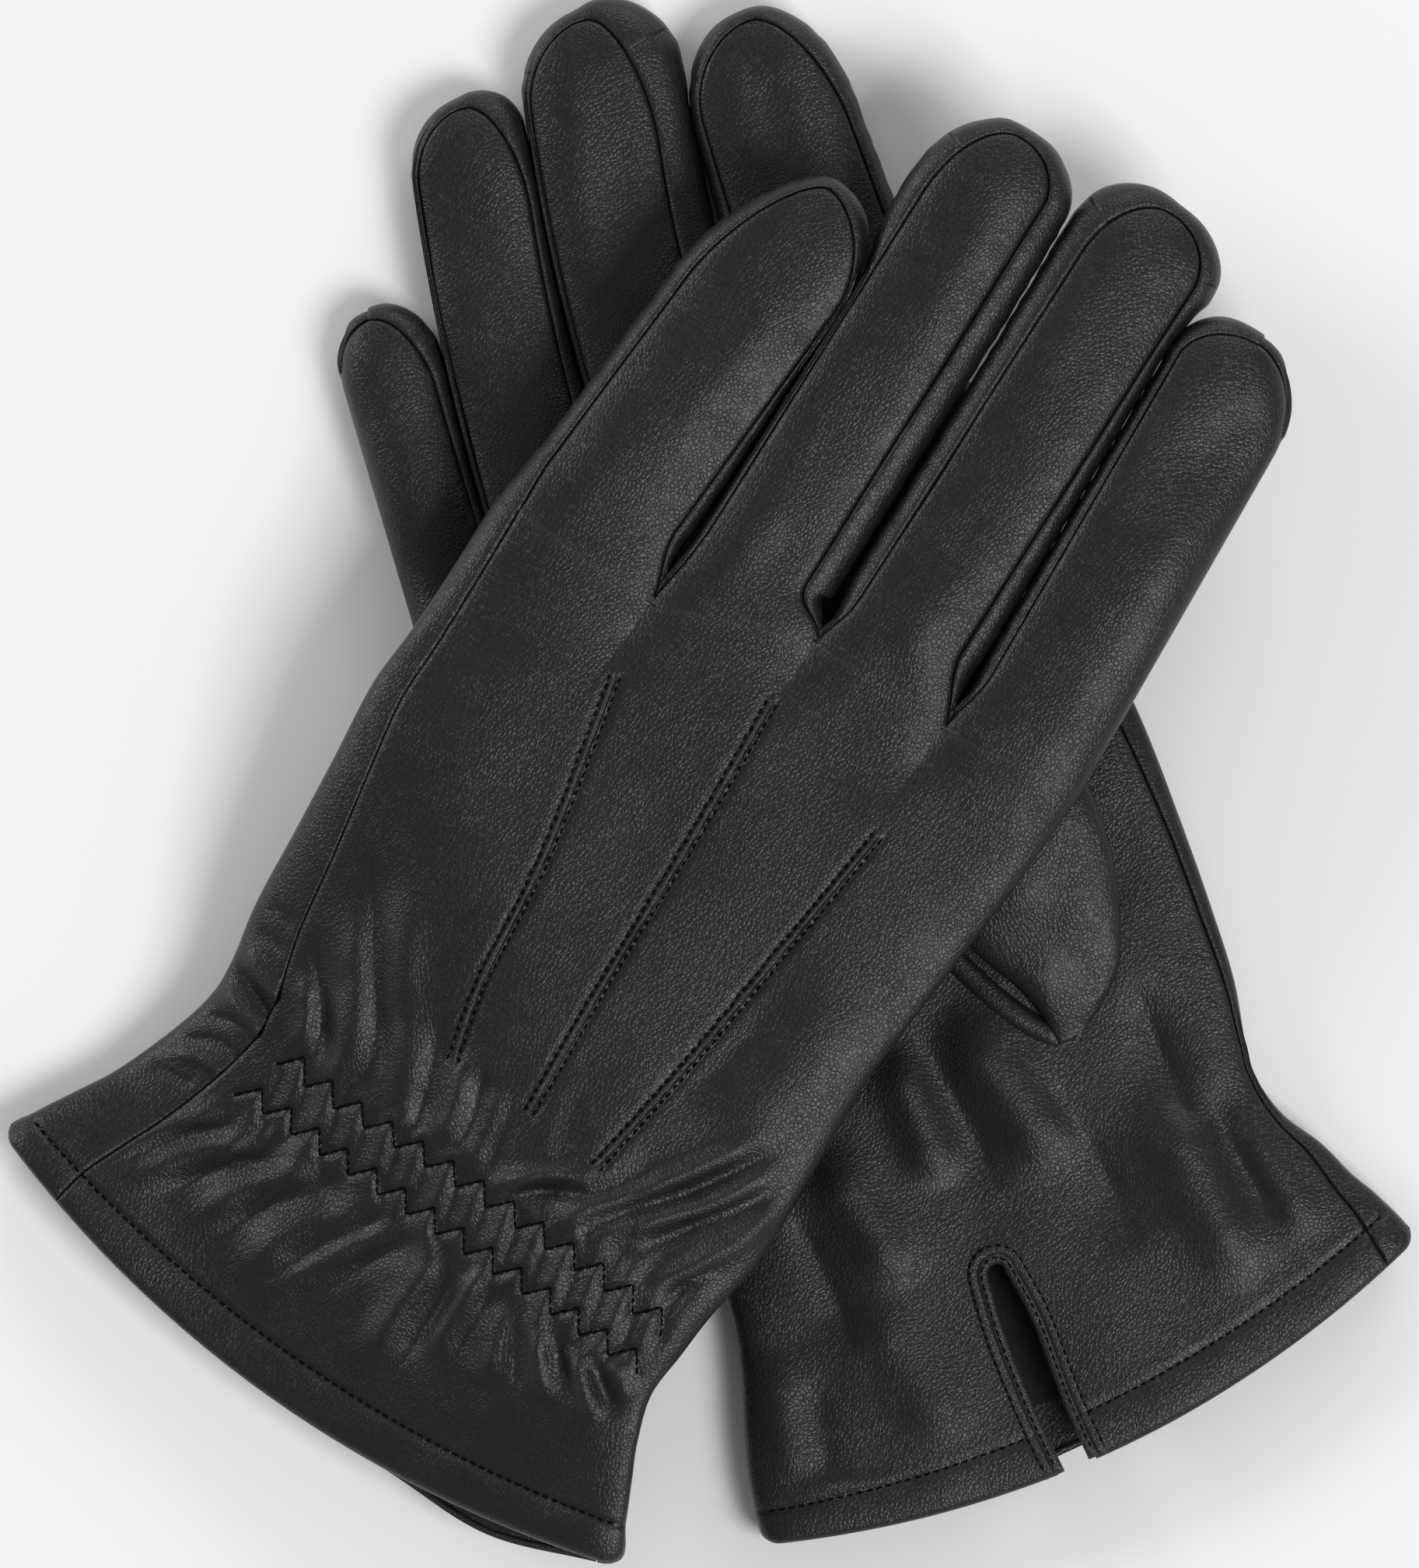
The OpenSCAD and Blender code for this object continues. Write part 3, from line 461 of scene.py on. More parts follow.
def vent_loop(vent, off):
    """Round the slit from the hem up one side, over its top and down the other side, off outside it."""
    a = smooth_path(vent["left"][::-1], 1.0)
    b = smooth_path(vent["right"], 1.0)
    turn = np.cross(a[-1] - a[0], b[0] - a[-1])
    top_a, top_b = a[-1], b[0]
    up = unit(a[-1] - a[-4])
    mid, half = (top_a + top_b) / 2, np.linalg.norm(top_b - top_a) / 2 + off
    out = -off if turn < 0 else off
    a, b = beside(a, out), beside(b, out)
    arc = []
    x = unit(a[-1] - mid)
    for k in np.linspace(0, math.pi, 9)[1:-1]:
        arc.append(mid + (x * math.cos(k) + up * math.sin(k)) * half)
    return np.vstack([a, arc, b])


def inside(xy, loop):
    x, y = xy[..., 0], xy[..., 1]
    hit = np.zeros(x.shape, bool)
    for (x0, y0), (x1, y1) in zip(loop, np.roll(loop, -1, axis=0)):
        cross = (y0 > y) != (y1 > y)
        t = (y - y0) / np.where(abs(y1 - y0) < 1e-9, 1e-9, y1 - y0)
        hit ^= cross & (x < x0 + t * (x1 - x0))
    return hit


def relief(g, up, xy, v=None, u=None, wrap=False):
    """Height that the creases add at a place, along z."""
    if g is left and up > 0:
        h = 0.3 * waves(xy, 30, 2)
        if v is not None:
            fade = sstep((v - 0.15) / 1.2)
            if wrap:
                return h + crease(xy, LEFT_WRAP_FOLDS) * fade
            seam = to_path(xy, SEAM[g])[0]
            h = h + (crease(xy, LEFT_FOLDS) + shirr(xy)) * fade * (0.25 + 0.75 * sstep(seam / 4))
            h = h + stitched(xy, ZIG, 0.5, 0.45) + stitched(xy, POINT_ROWS, 0.4, 0.42)
            crowns = [np.exp(-((to_path(xy, p)[0] / 0.55) ** 2)) for p in POINT_LINES]
            h = h + 0.25 * np.maximum.reduce(crowns)
        return h
    if g is right and up > 0:
        h = 0.3 * waves(xy, 24, 3)
        if v is not None:
            h = h + 1.25 * crease(xy, RIGHT_FOLDS) * sstep((v - 0.2) / 1.4)
        return h
    h = 0.12 * waves(xy, 20, 4)
    if g is right and v is not None:
        near = np.exp(-(((v - 4.75) / 1.1) ** 2))
        gathers = np.cos(2 * math.pi * (u * 15 + 0.3 * (v - 4.75)) + waves(xy, 12, 9))
        h = h + 0.5 * near * gathers * sstep((u - 0.08) / 0.1)
    return -h


# ---------------------------------------------------------------- rows and columns
EDGE = np.array([0, 0.07, 0.18, 0.36, 0.62, 0.95, 1.4])


def span(lo, hi, n, kl=1.0, kr=1.0):
    """n places from lo to hi, closer together towards an edge with k 1."""
    lo, hi = np.broadcast_arrays(np.asarray(lo, float), np.asarray(hi, float))
    lo, hi = lo[..., None], hi[..., None]
    kl, kr = np.asarray(kl, float)[..., None], np.asarray(kr, float)[..., None]
    w = hi - lo
    k = np.minimum(1, w / 5.5)
    m = n - 2 * len(EDGE)
    inner = lo + 1.9 * k + (w - 3.8 * k) * np.linspace(0, 1, m)
    close = np.concatenate([lo + EDGE * k, inner, hi - EDGE[::-1] * k], -1)
    t = np.linspace(0, 1, n)
    even = lo + w * t
    return even + (close - even) * (kl * (1 - t) + kr * t)


def roll(d, r=0.8, h=0.62):
    t = 1 - np.clip(d / r, 0, 1)
    return -h * (1 - np.sqrt(np.maximum(0, 1 - t * t)))


def rows_of(g):
    v = np.linspace(0, 13, 2600)
    mid = hand_xy(g, v, np.full(v.shape, 0.5))
    step = np.linalg.norm(np.diff(mid, axis=0), axis=1)
    s = np.concatenate([[0], np.cumsum(step)])
    dense = 0.56 if g is left else 0.68
    gap = np.where(v < 6.6, dense, 0.92)
    count = np.concatenate([[0], np.cumsum(step / gap[1:])])
    n = int(round(count[-1]))
    k = np.linspace(0, count[-1], n + 1)
    out = np.interp(k, count, v)
    start = np.interp(np.array([0.06, 0.16, 0.34, 0.6, 0.95]), s, v)
    out = np.concatenate([[0], start, out[out > np.interp(1.3, s, v)]])
    return out, s, v


def finger_rows(g, f):
    stop = finger(g, f)[3] - TIP_IN
    s = [0, 0.35, 0.8, 1.4]
    while s[-1] < stop - 12:
        s.append(s[-1] + 0.95)
    a = s[-1]
    return np.array(s + [a + (stop - a) * math.sin(math.pi / 2 * k / 26) for k in range(1, 27)])


NC = 40
NB = 26
TAU = np.array([0, 0.012, 0.03, 0.055, 0.09, 0.14, 0.2, 0.28, 0.38, 0.5])
SEAM = {}


def seam_x(g, v):
    """Where the seam on the top runs, as the place across its finger."""
    w = np.linalg.norm(through(g.r, v) - through(g.l, v), axis=-1) / 8
    return g.seam_side * (1 - np.interp(v, np.arange(14), g.wrap) / w), w


def place(g, up, xy, z):
    return np.concatenate([xy, (lie(g, xy) + up * z)[..., None]], -1)


def hand_grid(g, up, v, n):
    """The places of a hand's sheet: v, u, the place across its finger's share, and which finger."""
    seam, w = seam_x(g, v)
    own, _ = ends_of(g)
    near, always = sstep((v - 11.2) / 1.8), np.ones_like(v)
    xs, fs = [], []
    for f in range(4):
        lo, hi = -w, w
        if f == own and up > 0:
            lo, hi = (seam * w, w) if f == 0 else (-w, seam * w)
        x = span(lo, hi, n, always if f == 0 else near, always if f == 3 else near) / w[:, None]
        if f:
            x = x[:, 1:]
        xs.append(x)
        fs.append(np.full(x.shape, f))
    x, f = np.concatenate(xs, 1), np.concatenate(fs, 1)
    return np.broadcast_to(v[:, None], x.shape), (f + (x + 1) / 2) / 4, x, f


def hem_in(g, up, v, u):
    """How far the edge of the cuff's underside is drawn in, or stands out where it is below 0."""
    if up > 0:
        return 0 * v
    k = 2.6 if g is right else -2.6
    c, s = (0.46, 0.16) if g is right else (0.83, 0.11)
    return k * np.exp(-(((u - c) / s) ** 2)) * (1 - sstep(v / 1.6))


def hand_points(g, up, V, u, x, f, edge_off=None, hem=None, wrap=False):
    xy = hand_xy(g, V, u)
    ahead = unit(hand_xy(g, V + 0.05, u) - xy)
    xy = xy + ahead * hem_in(g, up, V, u)[..., None]
    rise = hand_rise(V, f, x)
    z = HH * rise
    if edge_off is not None:
        z = z + roll(edge_off)
    z = z + roll(hem, 1.5, 1.25)
    soft = np.clip(rise * 1.4, 0, 1) ** 2
    z = z + up * relief(g, up, xy, V, u, wrap) * soft
    if up > 0:
        row = np.exp(-(((hem - HEM_ROW) / 0.5) ** 2))
        z = z - 0.5 * row + 0.25 * np.exp(-(((hem - 4) / 3) ** 2)) * soft
    return place(g, up, xy, z)


def from_seam(g, V, x, f):
    """Millimetres across from the seam on the top."""
    s, w = seam_x(g, V)
    return np.where(f == ends_of(g)[0], np.abs(x - s) * w, AWAY)


def finger_sheet(g, up, f, s, n):
    """The top or underside leather of a finger, from the knuckle to its tip."""
    own, far = ends_of(g)
    lo, hi = finger_w(g, f, s)
    lat = span(-lo, hi, n)
    S = np.broadcast_to(s[:, None], lat.shape)
    xy = finger_xy(g, f, S, lat)
    rise = finger_rise(g, f, S, lat)
    from_lo, from_hi = lat + lo[:, None], hi[:, None] - lat
    d = np.minimum(from_lo, from_hi)
    at_far = 0
    if f == far:
        d, other = (from_lo, from_hi) if far == 3 else (from_hi, from_lo)
        at_far = roll(other) * turned(g, f, s, -g.seam_side)[:, None]
    if up < 0 and f == own:
        d = from_hi if f == 0 else from_lo
    d = np.minimum(d, (s[-1] - S) * 1.2 + 0.001)
    z = finger_h(g, f, S) * rise + np.minimum(roll(d), at_far) * sstep(S / 1.8)
    if up > 0:
        z = z + relief(g, up, xy) * np.clip(rise * 1.4, 0, 1) ** 2
        z = z + hollows(g, f, S, lat) * np.clip(rise * 1.5, 0, 1) ** 2
    return place(g, up, xy, z)


def hollows(g, f, s, lat):
    """Soft hollows and joints of an empty finger."""
    rng = np.random.RandomState(20 + f + (10 if g is right else 0))
    h = 0 * s
    length = finger(g, f)[3]
    for _ in range(5 if g is left else 6):
        a, c = rng.uniform(10, length - 14), rng.uniform(-5, 5)
        k = rng.uniform(-0.7, 0.5)
        h = h + k * np.exp(-(((s - a) / rng.uniform(6, 14)) ** 2) - (((lat - c) / rng.uniform(3, 6)) ** 2))
    return h * sstep((s - 2) / 8)


# ---------------------------------------------------------------- meshes
def grid_faces(r, c):
    i, j = np.meshgrid(np.arange(r - 1), np.arange(c - 1), indexing="ij")
    a = (i * c + j).ravel()
    return np.stack([a, a + 1, a + c + 1, a + c], -1)


def sew(parts):
    """Joins grids of points into one sheet. A part is (points, outward direction, kept faces or None)."""
    verts, faces, base = [], [], 0
    for points, out, keep in parts:
        r, c = points.shape[:2]
        fc = grid_faces(r, c)
        p = points.reshape(-1, 3)
        n = np.cross(p[fc[:, 2]] - p[fc[:, 0]], p[fc[:, 3]] - p[fc[:, 1]])
        o = np.broadcast_to(out, points.shape).reshape(-1, 3)[fc[:, 0]]
        if (n * o).sum() < 0:
            fc = fc[:, ::-1]
        if keep is not None:
            fc = fc[keep(p[fc].mean(1)[:, :2])]
        verts.append(p)
        faces.append(fc + base)
        base += len(p)
    verts, faces = np.vstack(verts), np.vstack(faces)
    key = np.round(verts * 2000).astype(np.int64)
    _, first, back = np.unique(key, axis=0, return_index=True, return_inverse=True)
    back = back.ravel()
    faces = back[faces]
    verts = verts[first]
    ok = (np.diff(np.sort(faces, 1), axis=1) == 0).sum(1) < 2
    faces = faces[ok]
    used = np.unique(faces)
    index = np.full(len(verts), -1)
    index[used] = np.arange(len(used))
    return verts[used], index[faces]


def normals_of(verts, faces):
    n = np.cross(verts[faces[:, 2]] - verts[faces[:, 0]], verts[faces[:, 3]] - verts[faces[:, 1]])
    total = np.zeros_like(verts)
    for k in range(4):
        np.add.at(total, faces[:, k], n)
    return unit(total)


def edge_loops(faces):
    """The edges that only one face has."""
    e = np.concatenate([np.stack([faces[:, k], faces[:, (k + 1) % 4]], -1) for k in range(4)])
    e = e[e[:, 0] != e[:, 1]]
    code = e[:, 0].astype(np.int64) * 10**7 + e[:, 1]
    mirror = e[:, 1].astype(np.int64) * 10**7 + e[:, 0]
    return e[~np.isin(code, mirror)]


def add_mesh(name, verts, faces):
    me = bpy.data.meshes.new(name)
    out = []
    for fc in faces.tolist():
        q = []
        for k in fc:
            if not q or (k != q[-1] and k != q[0]):
                q.append(k)
        if len(q) > 2:
            out.append(q)
    me.from_pydata((verts * MM).tolist(), [], out)
    me.polygons.foreach_set("use_smooth", np.ones(len(me.polygons), bool))
    me.set_sharp_from_angle(angle=math.radians(58))
    me.update()
    ob = bpy.data.objects.new(name, me)
    bpy.context.scene.collection.objects.link(ob)
    return ob


def shell(name, parts, thick):
    """A sheet of leather or lining with a thickness: outer skin, inner skin and the cut edge round it."""
    verts, faces = sew(parts)
    n = normals_of(verts, faces)
    inner = verts - n * thick
    rim = edge_loops(faces)
    m = len(verts)
    walls = np.stack([rim[:, 1], rim[:, 0], rim[:, 0] + m, rim[:, 1] + m], -1)
    ob = add_mesh(name, np.vstack([verts, inner]), np.vstack([faces, faces[:, ::-1] + m, walls]))
    ob["outer"] = m
    return ob, verts, faces


def key_of(points):
    """One whole number for each place, the same for places that meet."""
    k = np.round(points * 2000).astype(np.int64) + 10**6
    return (k[:, 0] * 4 * 10**6 + k[:, 1]) * 10**6 + k[:, 2]


def share_normals(sheets, grids, rows):
    """Pieces that meet at the knuckles get one normal where they meet."""
    known = {}
    for parts, row in zip(grids, rows):
        verts, faces = sew(parts)
        n = normals_of(verts, faces)
        wanted = set(key_of(row).tolist())
        for k, m in zip(key_of(verts).tolist(), n):
            if k in wanted:
                known[k] = m
    for ob in sheets:
        me = ob.data
        co = np.zeros(len(me.vertices) * 3)
        me.vertices.foreach_get("co", co)
        co = co.reshape(-1, 3) / MM
        custom = np.zeros_like(co)
        for i, k in enumerate(key_of(co[: ob["outer"]]).tolist()):
            if k in known:
                custom[i] = known[k]
        me.normals_split_custom_set_from_vertices(custom.tolist())


def tube_mesh(rings):
    """The side faces between rings of points, one after another."""
    r, c = rings.shape[:2]
    i, j = np.meshgrid(np.arange(r - 1), np.arange(c), indexing="ij")
    a, b = (i * c + j).ravel(), (i * c + (j + 1) % c).ravel()
    faces = np.stack([a, b, b + c, a + c], -1)
    return rings.reshape(-1, 3), faces


# ---------------------------------------------------------------- materials
def nodes_of(mat):
    mat.use_nodes = True
    return mat.node_tree.nodes, mat.node_tree.links, mat.node_tree.nodes["Principled BSDF"]


def ramp(nodes, stops):
    node = nodes.new("ShaderNodeValToRGB")
    els = node.color_ramp.elements
    while len(els) < len(stops):
        els.new(0.5)
    for e, (p, c) in zip(els, stops):
        e.position = p
        e.color = (*c, 1) if isinstance(c, tuple) else (c, c, c, 1)
    return node


def in_millimetres(nodes, links):
    where = nodes.new("ShaderNodeTexCoord")
    scale = nodes.new("ShaderNodeMapping")
    scale.inputs["Scale"].default_value = (1000, 1000, 1000)
    links.new(where.outputs["Object"], scale.inputs["Vector"])
    return scale


def leather(name, base, edge, rough, grain, cell=1.45):
    mat = bpy.data.materials.new(name)
    nodes, links, shader = nodes_of(mat)
    scale = in_millimetres(nodes, links)

    def noise(size, detail):
        n = nodes.new("ShaderNodeTexNoise")
        n.inputs["Scale"].default_value = size
        n.inputs["Detail"].default_value = detail
        n.inputs["Roughness"].default_value = 0.55
        links.new(scale.outputs["Vector"], n.inputs["Vector"])
        return n

    warp = noise(0.9, 2)
    push = nodes.new("ShaderNodeVectorMath")
    push.operation = "MULTIPLY_ADD"
    push.inputs[1].default_value = (0.5, 0.5, 0.5)
    links.new(warp.outputs["Color"], push.inputs[0])
    links.new(scale.outputs["Vector"], push.inputs[2])
    cells = nodes.new("ShaderNodeTexVoronoi")
    cells.feature = "DISTANCE_TO_EDGE"
    cells.inputs["Scale"].default_value = cell
    links.new(push.outputs["Vector"], cells.inputs["Vector"])
    pebble = ramp(nodes, [(0.0, 0.0), (0.22, 0.8), (0.5, 1.0)])
    links.new(cells.outputs["Distance"], pebble.inputs["Fac"])
    fine = noise(4.5, 4)
    broad = noise(0.045, 4)
    patch = noise(0.16, 3)
    # more grain in some places than in others
    amount = nodes.new("ShaderNodeMapRange")
    amount.inputs["From Min"].default_value = 0.35
    amount.inputs["From Max"].default_value = 0.65
    amount.inputs["To Min"].default_value = 0.55
    amount.inputs["To Max"].default_value = 1.0
    links.new(patch.outputs["Fac"], amount.inputs["Value"])
    height = nodes.new("ShaderNodeMath")
    height.operation = "MULTIPLY"
    links.new(pebble.outputs["Color"], height.inputs[0])
    links.new(amount.outputs["Result"], height.inputs[1])
    add = nodes.new("ShaderNodeMath")
    add.operation = "MULTIPLY_ADD"
    add.inputs[1].default_value = 0.16
    links.new(fine.outputs["Fac"], add.inputs[0])
    links.new(height.outputs["Value"], add.inputs[2])
    bump = nodes.new("ShaderNodeBump")
    bump.inputs["Strength"].default_value = grain
    bump.inputs["Distance"].default_value = 0.00022
    links.new(add.outputs["Value"], bump.inputs["Height"])
    soft = nodes.new("ShaderNodeBump")
    soft.inputs["Strength"].default_value = 0.12
    soft.inputs["Distance"].default_value = 0.0012
    links.new(patch.outputs["Fac"], soft.inputs["Height"])
    links.new(soft.outputs["Normal"], bump.inputs["Normal"])
    links.new(bump.outputs["Normal"], shader.inputs["Normal"])
    tone = ramp(nodes, [(0.3, base), (0.75, edge)])
    links.new(broad.outputs["Fac"], tone.inputs["Fac"])
    # painted shade in the grooves of the grain, and a painted highlight on the crests, which are also a
    # little worn
    groove_shade = nodes.new("ShaderNodeMix")
    groove_shade.data_type = "RGBA"
    groove_shade.blend_type = "MULTIPLY"
    groove_shade.inputs["Factor"].default_value = 0.5
    links.new(tone.outputs["Color"], groove_shade.inputs["A"])
    links.new(pebble.outputs["Color"], groove_shade.inputs["B"])
    geo = nodes.new("ShaderNodeNewGeometry")
    crest = ramp(nodes, [(0.5, 0.0), (0.62, 1.0)])
    links.new(geo.outputs["Pointiness"], crest.inputs["Fac"])
    wear_and_highlight = nodes.new("ShaderNodeMix")
    wear_and_highlight.data_type = "RGBA"
    wear_and_highlight.blend_type = "ADD"
    links.new(groove_shade.outputs["Result"], wear_and_highlight.inputs["A"])
    wear_and_highlight.inputs["B"].default_value = (0.012, 0.012, 0.012, 1)
    links.new(crest.outputs["Color"], wear_and_highlight.inputs["Factor"])
    links.new(wear_and_highlight.outputs["Result"], shader.inputs["Base Color"])
    gloss = nodes.new("ShaderNodeMapRange")
    gloss.inputs["To Min"].default_value = rough - 0.07
    gloss.inputs["To Max"].default_value = rough + 0.09
    links.new(fine.outputs["Fac"], gloss.inputs["Value"])
    links.new(gloss.outputs["Result"], shader.inputs["Roughness"])
    shader.inputs["Specular IOR Level"].default_value = 0.42
    shader.inputs["IOR"].default_value = 1.5
    return mat


def cloth(name, base, other, rough, weave, strength, sheen=0.25):
    mat = bpy.data.materials.new(name)
    nodes, links, shader = nodes_of(mat)
    scale = in_millimetres(nodes, links)
    wave = nodes.new("ShaderNodeTexWave")
    wave.inputs["Scale"].default_value = weave
    wave.inputs["Distortion"].default_value = 1.2
    wave.inputs["Detail"].default_value = 2
    links.new(scale.outputs["Vector"], wave.inputs["Vector"])
    noise = nodes.new("ShaderNodeTexNoise")
    noise.inputs["Scale"].default_value = 0.8
    noise.inputs["Detail"].default_value = 5
    links.new(scale.outputs["Vector"], noise.inputs["Vector"])
    tone = ramp(nodes, [(0.3, base), (0.7, other)])
    links.new(noise.outputs["Fac"], tone.inputs["Fac"])
    links.new(tone.outputs["Color"], shader.inputs["Base Color"])
    bump = nodes.new("ShaderNodeBump")
    bump.inputs["Strength"].default_value = strength
    bump.inputs["Distance"].default_value = 0.0002
    links.new(wave.outputs["Fac"], bump.inputs["Height"])
    links.new(bump.outputs["Normal"], shader.inputs["Normal"])
    shader.inputs["Roughness"].default_value = rough
    shader.inputs["Sheen Weight"].default_value = sheen
    shader.inputs["Specular IOR Level"].default_value = sheen
    return mat


SKIN = leather("leather", (0.0062, 0.0074, 0.0077), (0.0092, 0.0104, 0.0107), 0.38, 0.34)
BIND = leather("binding_leather", (0.010, 0.0115, 0.012), (0.016, 0.0175, 0.018), 0.38, 0.4, 1.7)
LINING = cloth("lining_knit", (0.010, 0.0085, 0.0075), (0.020, 0.0165, 0.0145), 0.85, 1.1, 0.6)
ELASTIC = cloth("elastic_band", (0.012, 0.012, 0.012), (0.022, 0.021, 0.02), 0.8, 2.0, 0.7)
THREAD = cloth("thread", (0.0016, 0.0017, 0.0018), (0.003, 0.0031, 0.0032), 0.9, 3.0, 0.5, 0.03)
SLOTS = {"leather": SKIN, "binding": BIND, "lining": LINING, "elastic": ELASTIC, "thread": THREAD}


def finish_piece(ob, slot, nodes, body=None, blend=None):
    ob.data.materials.clear()
    ob.data.materials.append(SLOTS[slot])
    if nodes:
        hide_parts(*nodes)
    if blend:
        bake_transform(ob)
    else:
        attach(ob, body)


# ---------------------------------------------------------------- building a glove
NAMES = ["little", "ring", "middle", "index"]
Z = np.array([0.0, 0.0, 1.0])
LEATHER_THICK, SIDE_THICK, LINING_THICK = 1.0, 0.9, 0.5
TIP_RUN = 26  # length of a finger's end in which its sides close round the tip


def fold_of(g, f):
    """The fold between hand and finger: bodies, start and end."""
    base, d = finger(g, f)[:2]
    fold = finger(g, f)[-1]
    a, c = (fold - 8, fold + 7) if g is left else (fold - 10, fold + 10)
    z = float(lie(g, (base + d * fold)[None])[0])
    p = [float(x) * MM for x in (*(base + d * a), z)]
    q = [float(x) * MM for x in (*(base + d * c), z)]
    return (g.name + "_hand", g.name + "_" + NAMES[f], p, q)


def hand_top(g, v, hem, w):
    """The top sheet: its grid, its places across, and the grid with what goes round the far edge."""
    _, far = ends_of(g)
    V, u, x, f = hand_grid(g, 1, v, NC)
    top = hand_points(g, 1, V, u, x, f, from_seam(g, V, x, f), hem)
    dist = np.array([0.1, 0.3, 0.65, 1.2, 2.0, 3.0])
    x = (1 - dist[None] / w[:, None]) * (1 if far == 3 else -1)
    V = np.broadcast_to(v[:, None], x.shape)
    f = np.full(x.shape, far)
    to_edge = 3.0 - np.broadcast_to(dist, x.shape)
    turn = hand_points(g, -1, V, (f + (x + 1) / 2) / 4, x, f, to_edge, hem)
    if far == 3:
        return top, u, np.concatenate([top, turn], 1)
    return top, u, np.concatenate([turn[:, ::-1], top], 1)


def hand_under(g, v, hem, w):
    """The underside sheet, up to where the top sheet comes round the far edge, and its places across."""
    _, far = ends_of(g)
    V, u, x, f = hand_grid(g, -1, v, NB)
    stop = 1 - 3.2 / w[:, None]
    if far == 3:
        x = np.where(f == 3, np.minimum(x, mix(-1, stop, (x + 1) / 2)), x)
    else:
        x = np.where(f == 0, np.maximum(x, -mix(-1, stop, (1 - x) / 2)), x)
    u = (f + (x + 1) / 2) / 4
    d = np.where(f == far, np.abs(np.abs(x) - stop) * w[:, None], AWAY)
    d = np.where((x > 0) == (far == 3), d, AWAY)
    return hand_points(g, -1, V, u, x, f, d, hem), u


def wrapped_strip(g, v, hem, seam, w):
    """The leather of the underside where it comes round the edge on to the top, as far as the seam."""
    own, _ = ends_of(g)
    wide = ((1 - np.abs(seam)) * w)[:, None]
    fine = np.interp(np.arange(28) / 3, np.arange(10), TAU)
    lat = wide * np.sin(fine * math.pi)
    x = g.seam_side * (np.abs(seam)[:, None] + lat / w[:, None])
    V = np.broadcast_to(v[:, None], x.shape)
    f = np.full(x.shape, own)
    strip = hand_points(g, 1, V, (f + (x + 1) / 2) / 4, x, f, lat, hem, True)
    at_seam = HH * hand_rise(V, f, g.seam_side * np.abs(seam)[:, None])
    oval = at_seam * np.sqrt(np.maximum(0, 1 - (lat / wide) ** 2)) + roll(lat)
    oval = oval + lie(g, strip[..., :2])
    strip[..., 2] = mix(strip[..., 2], oval, sstep((V - 10.6) / 2.2))
    return strip


def edges_of(g, i):
    """A finger's little-side seam and its other one."""
    s = finger_rows(g, i)
    lo, hi = finger_w(g, i, s)
    return finger_xy(g, i, s, -lo), finger_xy(g, i, s, hi)


def outline_of(g, i, s):
    """A finger's edge: up the little-side seam, round the tip and down the other seam.

    Returns the distance along the finger, across it, the place, the direction outward, and whether
    the place is on the little side.
    """
    lo, hi = finger_w(g, i, s)
    so = np.concatenate([s, s[::-1]])
    lat = np.concatenate([-lo, hi[::-1]])
    line = finger_xy(g, i, so, lat)
    out = unit(-right_of(np.gradient(line, axis=0)))
    return so, lat, line, out, np.arange(len(so)) < len(s)


def room_beside(g, i, s, length):
    """The share of the gap to the next finger that a side strip may fill, along the outline."""
    edges = [edges_of(g, k) for k in range(4)]
    none = np.full(len(s), float(AWAY))
    gap_l = to_path(edges[i][0], edges[i - 1][1])[0] if i else none
    gap_r = to_path(edges[i][1], edges[i + 1][0])[0] if i < 3 else none
    share = mix(*g.share, (s / length) ** 2)
    return np.concatenate([share * gap_l - 0.04, ((1 - share) * gap_r - 0.04)[::-1]])


def side_widths(g, i, s, so, lat, out, little):
    """How far the side strip stands out from the outline, and how far it has grown from the crotch."""
    own, far = ends_of(g)
    n, length, _, w0, w1, sides, insets = finger(g, i)[2:9]
    most = np.where(little, sides[0], sides[1])
    side = most
    seam_edge = little == (own == 0)
    grow = np.minimum(1, np.maximum(so, 0) / 4.5) ** 0.7
    if i == own:
        at_hand = g.wrap[13] / hand_w(g) * np.linalg.norm(np.subtract(g.c[i + 1], g.c[i])) / 2
        grow = np.where(seam_edge, 1, grow)
        side = np.where(seam_edge, mix(at_hand, insets[0 if own == 0 else 1], sstep(so / 10)), side)
    room = room_beside(g, i, s, length)
    facing = room < 30
    side = np.where(facing, np.minimum(room, most), side)
    grow = np.where(facing, 1, grow)
    shut = g.tips[i]
    edge = mix(w0, w1, np.clip(so / length, 0, 1)) - np.where(little, insets[0], insets[1]) + side
    edge = edge * np.where(little, taper(so, length, *shut[4:6]), taper(so, length, *shut[6:8]))
    slant = np.abs((out * n).sum(-1))
    at_tip = np.maximum(edge - np.abs(lat), 0.5) * slant + TIP_IN * (1 - slant)
    width = mix(side * grow, at_tip, sstep((so - (s[-1] - TIP_RUN)) / 8))
    width = np.where(facing, np.minimum(width, np.maximum(room, 0.02)), width)
    pad = np.concatenate([np.full(4, width[0]), width, np.full(4, width[-1])])
    eased = np.convolve(pad, np.ones(9) / 9, "valid")
    width = np.where(so > 4, eased, width)
    if i == far:
        width = np.where(seam_edge, width, TIP_IN * turned_both(g, i, s))
    return width, grow


def turned_both(g, i, s):
    """How far the outline has turned at the finger's far edge, once for each half of the outline."""
    bend = turned(g, i, s, -g.seam_side)
    return np.concatenate([bend, bend[::-1]])


